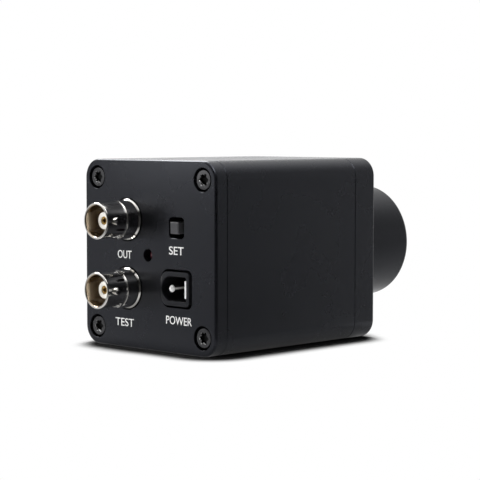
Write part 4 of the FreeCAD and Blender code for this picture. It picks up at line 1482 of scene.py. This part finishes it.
@dataclass
class PowerInlet(Assembly):
    """Moulded housing with a D-shaped socket, a round pin and a leaf contact."""

    nose_wall: float = 0.45 * MM
    side_wall: float = 1.25 * MM
    end_wall: float = 1.05 * MM
    left_corner: float = 2.5 * MM
    right_corner: float = 1.1 * MM
    socket_corner: float = 0.6 * MM
    floor: float = 2.0 * MM
    edge_round: float = 0.2 * MM
    edge_sag: float = 0.3
    pin_hole_radius: float = 0.72 * MM
    pin_tail_radius: float = 0.7 * MM
    pin_steps: int = 12
    nose_share: float = 0.75
    leaf_thickness: float = 0.6 * MM
    slot_width: float = 0.64 * MM
    slot_height: float = 2.04 * MM
    slot_corner: float = 0.02 * MM

    def __post_init__(self) -> None:
        """Reads the inlet's outline and planes from the frame."""
        self.box = Extent(*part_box("dc_housing"))
        self.z = self.box.z
        self.y_face, self.y_board = self.box.low.y, self.box.high.y
        self.y_floor = self.y_board - self.floor
        self.body = self.outline(0.0)
        left, right = self.box.low.x + self.nose_wall, self.box.high.x - self.end_wall
        half_height = self.box.height / 2 - self.side_wall
        self.socket = NosedBox(left, right, self.z, half_height, self.socket_corner)
        pin = Extent(*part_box("dc_pin"))
        self.pin_x = pin.x
        self.pin_radius = pin.width / 2
        self.y_pin, self.y_tail = pin.low.y, pin.high.y
        self.leaf_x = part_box("dc_leaf")[1].x - self.leaf_thickness / 2

    def outline(self, gap: float) -> Outline:
        """Outline of the housing, or of an opening that is a gap wider all round.

        Args:
            gap: Space outside the housing.

        Returns:
            The outline.
        """
        width, height = self.box.width + 2 * gap, self.box.height + 2 * gap
        corners = self.right_corner + gap, self.left_corner + gap
        return RoundedBox(self.box.x, self.z, width, height, *corners)

    def build(self) -> None:
        """Builds the housing and its pin."""
        self.build_housing()
        shell = Shell()
        shell.turned(self.pin_profile(), self.pin_x, self.z)
        # The pin's nose takes the second finish, painted white: a painted highlight on its tip.
        y_nose = self.y_pin + self.nose_share * self.pin_radius
        shell.repaint(SECOND_PAINT, lambda place: place.y < y_nose)
        self.stand_in(shell, "inlet_pin", "dc_pin", Slot.STEEL, Extra.TINNED)

    def build_housing(self) -> None:
        """Housing with its socket, and the holes that the contacts pass through."""
        y_face, edge = self.y_face, self.edge_round
        sag, half_edge = self.edge_sag * edge, edge / 2
        ends = [(self.y_floor, 0.0), (self.y_board, 0.0)]
        slot = RoundedBox(self.leaf_x, self.z, self.slot_width, self.slot_height, self.slot_corner)
        shell = Shell()
        stations = [(y_face, edge), (y_face + sag, sag), (y_face + edge, 0.0), (self.y_board, 0.0)]
        face, back = shell.wall(self.body, stations)
        stations = [(y_face, -half_edge), (y_face + half_edge, 0.0), (self.y_floor, 0.0)]
        mouth, floor = shell.wall(self.socket, stations)
        pin_hole = Round(self.pin_x, self.z, self.pin_hole_radius)
        hole_mouths, hole_ends = zip(*(shell.wall(hole, ends) for hole in (pin_hole, slot)))
        shell.flat(face, mouth)
        shell.flat(floor, *hole_mouths)
        shell.flat(back, *hole_ends)
        self.stand_in(shell, "inlet_housing", "dc_housing", Slot.BLACK_MOULDING)

    def dress_leaf(self, frame: dict[str, Any]) -> None:
        """Tins the leaf contact, which keeps its solid."""
        for place in frame["nodes"]["dc_leaf"].material_slots:
            place.material = self.palette[Extra.TINNED]

    def pin_profile(self) -> Points:
        """Half of the pin's section: a round nose, a straight body and a thinner tail.

        Returns:
            The profile from nose to tail.
        """
        nose = arc_points(0.0, self.y_pin + self.pin_radius, self.pin_radius, -90, 0, self.pin_steps)
        body = [(self.pin_radius, self.y_floor), (self.pin_tail_radius, self.y_floor)]
        tail = [(self.pin_tail_radius, self.y_tail), (0.0, self.y_tail)]
        return [(0.0, self.y_pin)] + nose[1:] + body + tail


@dataclass
class MenuStick(Assembly):
    """Square stem of the menu switch, which stands in a hole in the cover."""

    shank_width: float = 2.1 * MM
    foot_width: float = 2.7 * MM
    foot: float = 0.4 * MM
    shank_length: float = 1.95 * MM
    corner: float = 0.25 * MM
    crown: float = 0.03 * MM
    hole_width: float = 5.5 * MM
    hole_corner: float = 1.0 * MM

    def __post_init__(self) -> None:
        """Reads the stem's place from the frame."""
        self.box = Extent(*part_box("stem"))

    def square(self, width: float, corner: float) -> Outline:
        """Square outline about the stem's axis."""
        return RoundedBox(self.box.x, self.box.z, width, width, corner)

    def panel_hole(self) -> Outline:
        """Outline of the opening in the cover."""
        return self.square(self.hole_width, self.hole_corner)

    def build(self) -> None:
        """Builds the stem with a broken edge round its slightly dished end."""
        x, z = self.box.x, self.box.z
        y_tip, y_end = self.box.low.y, self.box.high.y
        y_foot = y_end - self.foot
        y_shoulder = y_foot - self.shank_length
        head = self.square(self.box.width, self.corner)
        shank = self.square(self.shank_width, self.crown)
        foot = self.square(self.foot_width, self.crown)
        sections = [(head, y_tip + self.corner - inset, inset) for _, inset in quarter_round(self.corner)]
        sections += [(head, y_shoulder, 0.0), (shank, y_shoulder, 0.0), (shank, y_foot, 0.0)]
        sections += [(foot, y_foot, 0.0), (foot, y_end, 0.0)]
        shell = Shell()
        face, back = shell.loft(sections)
        shell.tip(face, (x, y_tip + self.crown, z))
        shell.tip(back, (x, y_end, z))
        self.stand_in(shell, "stick_stem", "stem", Slot.GREY_STEM, body=Body.STEM)


@dataclass
class StatusLamp(Assembly):
    """Round-nosed lamp behind a hole in the cover."""

    nose_radius: float = 1.5 * MM
    nose_steps: int = 16
    flange_front: float = 3.2 * MM
    flange: float = 1.0 * MM
    lead_width: float = 0.5 * MM
    lead_corner: float = 0.04 * MM
    lead_pitch: float = 2.0 * MM

    def __post_init__(self) -> None:
        """Reads the lamp's place from the frame."""
        self.box = Extent(*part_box("status_lamp"))

    def panel_hole(self, play: float) -> Outline:
        """Outline of the opening in the cover."""
        return Round(self.box.x, self.box.z, self.nose_radius + play)

    def build(self) -> None:
        """Builds the lamp with its two leads."""
        x, z = self.box.x, self.box.z
        y_tip, y_tail = self.box.low.y, self.box.high.y
        y_flange = y_tip + self.flange_front
        y_seat = y_flange + self.flange
        flange_radius = self.box.height / 2
        nose = arc_points(0.0, y_tip + self.nose_radius, self.nose_radius, -90, 0, self.nose_steps)
        body = [(self.nose_radius, y_flange), (flange_radius, y_flange), (flange_radius, y_seat)]
        shell = Shell()
        shell.turned([(0.0, y_tip)] + nose[1:] + body + [(0.0, y_seat)], x, z)
        shell.paint = SECOND_PAINT
        for side in (-1, 1):
            x_lead = x + side * self.lead_pitch / 2
            lead = RoundedBox(x_lead, z, self.lead_width, self.lead_width, self.lead_corner)
            for end in shell.wall(lead, [(y_seat, 0.0), (y_tail, 0.0)]):
                shell.flat(end)
        self.stand_in(shell, "lamp_body", "status_lamp", Slot.LAMP_RED, Slot.STEEL)


@dataclass
class LensBarrel(Assembly):
    """Round barrel with a spigot behind, stepped bores and a baffled mouth."""

    spigot_radius: float = 12.7 * MM
    spigot_length: float = 5.5 * MM
    spigot_break: float = 0.4 * MM
    front_round: float = 1.5 * MM
    mouth_radius: float = 13.4 * MM
    mouth_depth: float = 5.0 * MM
    front_bore: float = 11.55 * MM
    front_seat_depth: float = 10.0 * MM
    front_clear: float = 9.8 * MM
    web: float = 3.9 * MM
    rear_clear: float = 7.0 * MM
    rear_bore: float = 8.55 * MM
    baffles: int = 9
    baffle_depth: float = 0.22 * MM
    soft_edge: float = 0.15 * MM

    def build(self) -> None:
        """Builds the barrel."""
        box = Extent(*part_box("lens_barrel"))
        radius = box.width / 2
        y_spigot, y_tip = box.low.y, box.high.y
        y_face = y_spigot + self.spigot_length
        y_seat = y_tip - self.front_seat_depth
        y_shoulder = y_seat - self.web
        corners = [
            (self.rear_bore, y_spigot, 0.0),
            (self.spigot_radius - self.spigot_break, y_spigot, 0.0),
            (self.spigot_radius, y_spigot + self.spigot_break, 0.0),
            (self.spigot_radius, y_face, 0.0),
            (radius, y_face, self.soft_edge),
            (radius, y_tip, self.front_round),
            (self.mouth_radius, y_tip, self.soft_edge),
            *self.baffle_corners(y_tip),
            (self.front_bore, y_seat, 0.0),
            (self.front_clear, y_seat, 0.0),
            (self.rear_clear, y_shoulder, 0.0),
            (self.rear_bore, y_shoulder, 0.0),
        ]
        shell = Shell()
        shell.turned(softened(corners), 0.0, box.z)
        self.stand_in(shell, "barrel_tube", "lens_barrel", Slot.LENS_BLACK)

    def baffle_corners(self, y_tip: float) -> Corners:
        """Saw-tooth grooves down the mouth's taper, which keep stray light off the glass.

        Args:
            y_tip: Tip of the barrel.

        Returns:
            Corners of the profile.
        """
        corners = []
        pitch = self.mouth_depth / self.baffles
        taper = (self.mouth_radius - self.front_bore) / self.mouth_depth
        for i in range(1, self.baffles):
            radius = self.mouth_radius - taper * pitch * i
            corners.append((radius + self.baffle_depth, y_tip - pitch * i, 0.0))
            corners.append((radius, y_tip - pitch * i, 0.0))
        corners.append((self.front_bore, y_tip - self.mouth_depth, 0.0))
        return corners


@dataclass
class TripodNut(Assembly):
    """Flanged nut in the floor, with a cut thread in its neck."""

    neck_radius: float = 4.5 * MM
    thread_radius: float = 2.55 * MM
    thread_pitch: float = 1.27 * MM
    thread_height: float = 0.5 * MM
    thread_depth: float = 6.0 * MM
    countersink: float = 0.7 * MM
    wall: float = 2.5 * MM
    corner: float = 1.0 * MM
    edge: float = 0.12 * MM
    rows_per_turn: int = 8

    def thread_ring(self, shell: Shell, depth: float) -> Ring:
        """One ring of the helical thread.

        Args:
            shell: The mesh to build in.
            depth: Depth of the ring in the thread.

        Returns:
            The ring.
        """
        points = []
        for i in range(ROUND_STEPS):
            share = i / ROUND_STEPS
            phase = (depth / self.thread_pitch - share) % 1.0
            groove = self.thread_height * (1 - abs(2 * phase - 1))
            reach = self.thread_radius + max(groove, self.countersink - depth)
            points.append((reach * math.cos(2 * math.pi * share), reach * math.sin(2 * math.pi * share)))
        return shell.ring(points, depth)

    def build(self) -> None:
        """Builds the nut along Y, then stands it up."""
        box = Extent(*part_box("tripod_nut"))
        top = box.height
        neck = Round(0.0, 0.0, self.neck_radius)
        flange = RoundedSquare(0.0, 0.0, box.width, self.corner)
        sections = [(flange, top, self.edge), (flange, top - self.edge, 0.0), (flange, self.wall, 0.0)]
        sections += [(neck, self.wall, 0.0), (neck, self.edge, 0.0), (neck, 0.0, self.edge)]
        shell = Shell()
        roof, mouth = shell.loft(sections)
        shell.tip(roof, (0.0, top, 0.0))
        step = self.thread_pitch / self.rows_per_turn
        rings = [self.thread_ring(shell, step * i) for i in range(int(self.thread_depth / step) + 1)]
        for near, far in zip([mouth] + rings, rings):
            shell.bridge(near, far)
        shell.tip(rings[-1], (0.0, self.thread_depth, 0.0))
        stand = Matrix.Translation((0.0, 0.0, box.low.z)) @ Matrix.Rotation(math.pi / 2, 4, "X")
        shell.mesh.transform(stand)
        self.stand_in(shell, "tripod_insert", "tripod_nut", Slot.STEEL)


@dataclass(frozen=True)
class PrintedWord:
    """A word of the panel print, by the place of its middle."""

    text: str
    x: float
    z: float
    width: float


@dataclass
class PanelPrint(Assembly):
    """White function words on the rear cover."""

    cap_height: float = 2.2 * MM
    cap_share: float = 0.73
    weight: float = 0.015 * MM
    thickness: float = 0.012 * MM
    words: tuple[PrintedWord, ...] = (
        PrintedWord("OUT", -9.2 * MM, 24.8 * MM, 5.4 * MM),
        PrintedWord("TEST", -9.3 * MM, 6.7 * MM, 7.2 * MM),
        PrintedWord("SET", 10.6 * MM, 26.7 * MM, 5.4 * MM),
        PrintedWord("POWER", 11.5 * MM, 8.65 * MM, 9.5 * MM),
    )

    def build(self, y_face: float) -> None:
        """Builds each word as a thin film on the cover.

        Args:
            y_face: The cover's outer face.
        """
        for word in self.words:
            data = self.letters(word)
            low = Vector([min(v.co[i] for v in data.vertices) for i in range(3)])
            high = Vector([max(v.co[i] for v in data.vertices) for i in range(3)])
            middle = (low + high) / 2
            stretch = Matrix.Diagonal((word.width / (high.x - low.x), 1.0, 1.0, 1.0))
            stand = Matrix.Translation((word.x, y_face, word.z)) @ Matrix.Rotation(math.pi / 2, 4, "X")
            data.transform(stand @ stretch @ Matrix.Translation(-middle))
            piece = finished(f"print_{word.text.lower()}", data, self.palette[Extra.PANEL_INK])
            seat(piece, Body.CAMERA, Slot.BLACK_ANODISED)

    def letters(self, word: PrintedWord) -> bpy.types.Mesh:
        """Mesh of a word, flat and unscaled.

        Args:
            word: The word.

        Returns:
            The mesh.
        """
        curve = bpy.data.curves.new(word.text, "FONT")
        curve.body = word.text
        curve.size = self.cap_height / self.cap_share
        curve.offset = self.weight
        curve.extrude = self.thickness
        text = bpy.data.objects.new(word.text, curve)
        bpy.context.scene.collection.objects.link(text)
        depsgraph = bpy.context.evaluated_depsgraph_get()
        data = bpy.data.meshes.new_from_object(text.evaluated_get(depsgraph))
        bpy.data.objects.remove(text)
        bpy.data.curves.remove(curve)
        return data


def dress_solids(frame: dict[str, Any], palette: Palette) -> None:
    """Gives every solid the finish of its slot.

    Args:
        frame: The loaded frame.
        palette: The finishes.
    """
    for row in frame["record"]["subparts"]:
        solid = frame["nodes"][row["node"]]
        slot = Slot(row["material_slot"])
        for place in solid.material_slots:
            place.material = palette[slot]
        if not solid.hide_render:
            LOG.info("%s: dressed as %s", solid.name, slot.value)


# Studio


@dataclass(frozen=True)
class Softbox:
    """Soft lamp that looks at the object."""

    name: str
    use: LampUse
    place: Place
    target: Place
    size: tuple[float, float]
    power: float

    def build(self) -> None:
        """Hangs the lamp."""
        lamp = bpy.data.lights.new(self.name, "AREA")
        lamp.shape = "RECTANGLE"
        lamp.size, lamp.size_y = self.size
        lamp.energy = self.power
        holder = bpy.data.objects.new(self.name, lamp)
        holder.location = self.place
        aim = Vector(self.target) - Vector(self.place)
        holder.rotation_euler = aim.to_track_quat("-Z", "Y").to_euler()
        holder.visible_glossy = self.use is LampUse.CARD
        holder.visible_diffuse = self.use is LampUse.LIGHT
        bpy.context.scene.collection.objects.link(holder)


@dataclass
class Studio:
    """Pale floor, surroundings that are white behind and dark on the camera's side, lamps and the camera."""

    # Levels of the surroundings, by direction
    ambient: float = 0.05
    bright_way: Place = (-1.14, 0.77, 0.3)
    way_range: Span = (-1.0, 1.36)
    dark_level: float = 0.04
    bright_level: float = 1.15
    left_span: Span = (-1.0, -0.72)
    left_level: float = 0.3
    over_span: Span = (0.05, 0.4)
    over_level: float = 0.2
    behind_level: float = 0.7
    ahead_span: Span = (-0.7, -0.3)
    sky_span: Span = (0.5, 1.0)
    sky_level: float = 1.0
    # Tones of the floor, by distance from the casing; its colour darkens near the casing as a painted shadow
    floor_radius: float = 6.0
    floor_tone: float = 0.92
    painted_shadow_tone: float = 0.12
    floor_mirrored: float = 0.88
    ends_level: float = 0.8
    beside_level: float = 0.37
    patch_inset: tuple[float, float] = (9.35 * MM, 7.65 * MM)
    patch_shift: tuple[float, float] = (2.1 * MM, -1.7 * MM)
    shadow_span: Span = (9.2 * MM, 17.3 * MM)
    ends_span: Span = (6.0 * MM, 14.0 * MM)
    ends_shade: Span = (0.25 * MM, 26.0 * MM)
    ends_away: Span = (14.0 * MM, 51.0 * MM)
    beside_shade: Span = (0.75 * MM, 9.75 * MM)
    beside_away: Span = (14.0 * MM, 100.0 * MM)
    # View that was fitted to the photograph
    camera_place: Place = (0.3204439, -0.3282289, 0.0580622)
    camera_yaw: float = 44.0284
    camera_pitch: float = -3.8075
    camera_roll: float = -0.0332
    focal_length: float = 125.34
    sensor_width: float = 36.0
    # Lamps that light the object, and cards that show in it
    card_target: Place = (0.0, -0.03, 0.03)
    lamps: tuple[Softbox, ...] = (
        Softbox("overhead", LampUse.LIGHT, (-0.115, 0.118, 0.935), ORIGIN, (0.22, 0.22), 10.4),
        Softbox("left_fill", LampUse.LIGHT, (-0.8, -0.85, 0.05), (0.0, 0.0, 0.025), (1.0, 0.09), 13.5),
        Softbox(
            "top_card", LampUse.CARD, (-0.047, -0.089, 0.067), (0.008, -0.031, 0.067), (0.036, 0.046), 0.0058
        ),
        Softbox("left_card", LampUse.CARD, (-0.33, 0.08, 0.42), card_target, (0.5, 0.22), 3.2),
        Softbox("corner_card", LampUse.CARD, (0.275, -0.195, 0.475), card_target, (0.26, 0.26), 1.3),
        Softbox("zenith_card", LampUse.CARD, (0.1, 0.0, 0.6), card_target, (0.3, 0.3), 0.5),
    )

    def build(self) -> None:
        """Builds the whole studio."""
        self.surround = self.make_surround()
        self.build_world()
        self.build_floor()
        for lamp in self.lamps:
            lamp.build()
        self.build_camera()
        bpy.context.scene.view_settings.view_transform = "Standard"

    def make_surround(self) -> bpy.types.NodeTree:
        """Brightness of the surroundings in a direction, as a mirror sees them.

        Returns:
            The node group.
        """
        graph, given, result = open_group("surround_level", {"Direction": ORIGIN}, ("Level",))
        way = graph.vector("NORMALIZE", given["Direction"])["Vector"]
        along = graph.vector("DOT_PRODUCT", way, self.bright_way)["Value"]
        around = graph.scaled(along, self.way_range, self.dark_level, self.bright_level)
        parts = graph.add("ShaderNodeSeparateXYZ", {0: way}).outputs
        sky = graph.ramp(parts["Z"], self.sky_span, 0.0, self.sky_level)
        left = graph.ramp(parts["X"], self.left_span, self.left_level, 1.0)
        ceiling = graph.ramp(parts["Y"], self.ahead_span, self.over_level, self.behind_level)
        over = graph.ramp(parts["Z"], self.over_span, 1.0, ceiling)
        shade = graph.math("MULTIPLY", left, over)
        graph.feed(result, {"Level": graph.math("MULTIPLY_ADD", around, shade, sky)})
        return graph.tree

    def mirrored_level(self, graph: Graph, direction: str) -> Socket:
        """Level of the surroundings, by a coordinate that points away from the object."""
        way = graph.add("ShaderNodeTexCoord").outputs[direction]
        return graph.group(self.surround, Direction=way)["Level"]

    @staticmethod
    def seen(path: Any, graph: Graph) -> Socket:
        """One for rays that reach the eye straight or through glass, and zero for the rest."""
        return graph.math("MAXIMUM", path["Is Camera Ray"], path["Is Transmission Ray"])

    def build_world(self) -> None:
        """White where it is seen, dark on one side in mirrors, and a softer light elsewhere."""
        world = bpy.data.worlds.new("studio")
        world.use_nodes = True
        graph = Graph(world.node_tree)
        path = graph.add("ShaderNodeLightPath").outputs
        mirrored = self.mirrored_level(graph, "Generated")
        unseen = graph.scaled(path["Is Glossy Ray"], low=self.ambient, high=mirrored)
        strength = graph.scaled(self.seen(path, graph), low=unseen)
        sky = graph.add("ShaderNodeBackground", {"Color": WHITE, "Strength": strength})
        graph.add("ShaderNodeOutputWorld", {"Surface": sky.outputs["Background"]})
        bpy.context.scene.world = world

    def build_floor(self) -> None:
        """Round floor that turns white away from the object and keeps the shadow near it, deepened by a
        painted shadow in its colour.
        """
        shell = Shell()
        circle = Round(0.0, 0.0, self.floor_radius).points()
        shell.face([shell.mesh.verts.new((x, y, 0.0)) for x, y in circle])
        floor = shell.piece("floor", self.floor_material())

    def footprint_offset(self, graph: Graph) -> tuple[Socket, Socket]:
        """How far a floor point lies from the patch that the casing keeps the light from.

        Args:
            graph: Nodes of the floor's material.

        Returns:
            The distance and its share along Y, both zero inside.
        """
        sleeve = Extent(*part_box("body_sleeve"))
        back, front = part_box("rear_cover")[0].y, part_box("front_cover")[1].y
        middle = (sleeve.x + self.patch_shift[0], (back + front) / 2 + self.patch_shift[1], 0.0)
        half = (sleeve.width / 2 - self.patch_inset[0], (front - back) / 2 - self.patch_inset[1], 1.0)
        vector = graph.add("ShaderNodeTexCoord").outputs["Object"]
        steps = (("SUBTRACT", middle), ("ABSOLUTE",), ("SUBTRACT", half), ("MAXIMUM", ORIGIN))
        for operation, *other in steps:
            vector = graph.vector(operation, vector, *other)["Vector"]
        distance = graph.vector("LENGTH", vector)["Value"]
        return distance, graph.add("ShaderNodeSeparateXYZ", {0: vector}).outputs["Y"]

    def floor_material(self) -> bpy.types.Material:
        """Pale floor: lit near the object, where a painted shadow darkens its colour and what mirrors see of
        it, and further off like the surroundings behind it.

        Returns:
            The material.
        """
        material = bpy.data.materials.new("pale_floor")
        material.use_nodes = True
        graph = Graph(material.node_tree)
        path = graph.add("ShaderNodeLightPath").outputs
        distance, endwise = self.footprint_offset(graph)
        around = graph.math("MULTIPLY", self.mirrored_level(graph, "Object"), self.floor_mirrored)
        beside, endward = (
            graph.math("MULTIPLY", graph.ramp(distance, shade), graph.ramp(distance, away, near, around))
            for near, shade, away in (
                (self.beside_level, self.beside_shade, self.beside_away),
                (self.ends_level, self.ends_shade, self.ends_away),
            )
        )
        level = graph.ramp(endwise, self.ends_span, beside, endward)
        glow = graph.scaled(path["Is Glossy Ray"], low=1.0, high=level)
        far = graph.ramp(distance, self.shadow_span)
        shown = graph.math("MULTIPLY", far, self.seen(path, graph))
        # The floor's colour darkens towards the casing: a painted shadow on top of the lamps' own shadow.
        tone = graph.ramp(distance, self.shadow_span, self.painted_shadow_tone, self.floor_tone)
        lit = graph.add("ShaderNodeBsdfDiffuse", {"Color": tone})
        white = graph.add("ShaderNodeEmission", {"Color": WHITE, "Strength": glow})
        mask = graph.math("MAXIMUM", shown, path["Is Glossy Ray"])
        mixed = graph.add("ShaderNodeMixShader", {0: mask, 1: lit.outputs[0], 2: white.outputs[0]})
        graph.add("ShaderNodeOutputMaterial", {"Surface": mixed.outputs[0]})
        return material

    def build_camera(self) -> None:
        """Camera at the photograph's angle."""
        lens = bpy.data.cameras.new("view")
        lens.lens = self.focal_length
        lens.sensor_width = self.sensor_width
        camera = bpy.data.objects.new("view", lens)
        camera.location = self.camera_place
        turns = (90 + self.camera_pitch, self.camera_roll, self.camera_yaw)
        camera.rotation_euler = [math.radians(turn) for turn in turns]
        bpy.context.scene.collection.objects.link(camera)
        bpy.context.scene.camera = camera


def main() -> None:
    """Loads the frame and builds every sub-assembly."""
    logging.basicConfig(level=logging.INFO, format="%(message)s")
    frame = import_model()
    palette = Palette()
    casing = Casing(palette)
    jacks = [CoaxialJack(palette, place) for place in JackPlace]
    inlet = PowerInlet(palette)
    lamp = StatusLamp(palette)
    stick = MenuStick(palette)
    openings: list[Outline] = [jack.panel_hole(casing.jack_hole_radius) for jack in jacks]
    openings += [inlet.outline(casing.inlet_gap), lamp.panel_hole(casing.lamp_hole_play), stick.panel_hole()]
    casing.build(openings)
    for end in CoverEnd:
        CoverScrews(palette, end).build(casing.screw_axes)
    for assembly in (*jacks, inlet, stick, lamp, LensBarrel(palette), TripodNut(palette)):
        assembly.build()
    PanelPrint(palette).build(casing.y_rear)
    dress_solids(frame, palette)
    inlet.dress_leaf(frame)
    Studio().build()


if __name__ == "__main__":
    main()
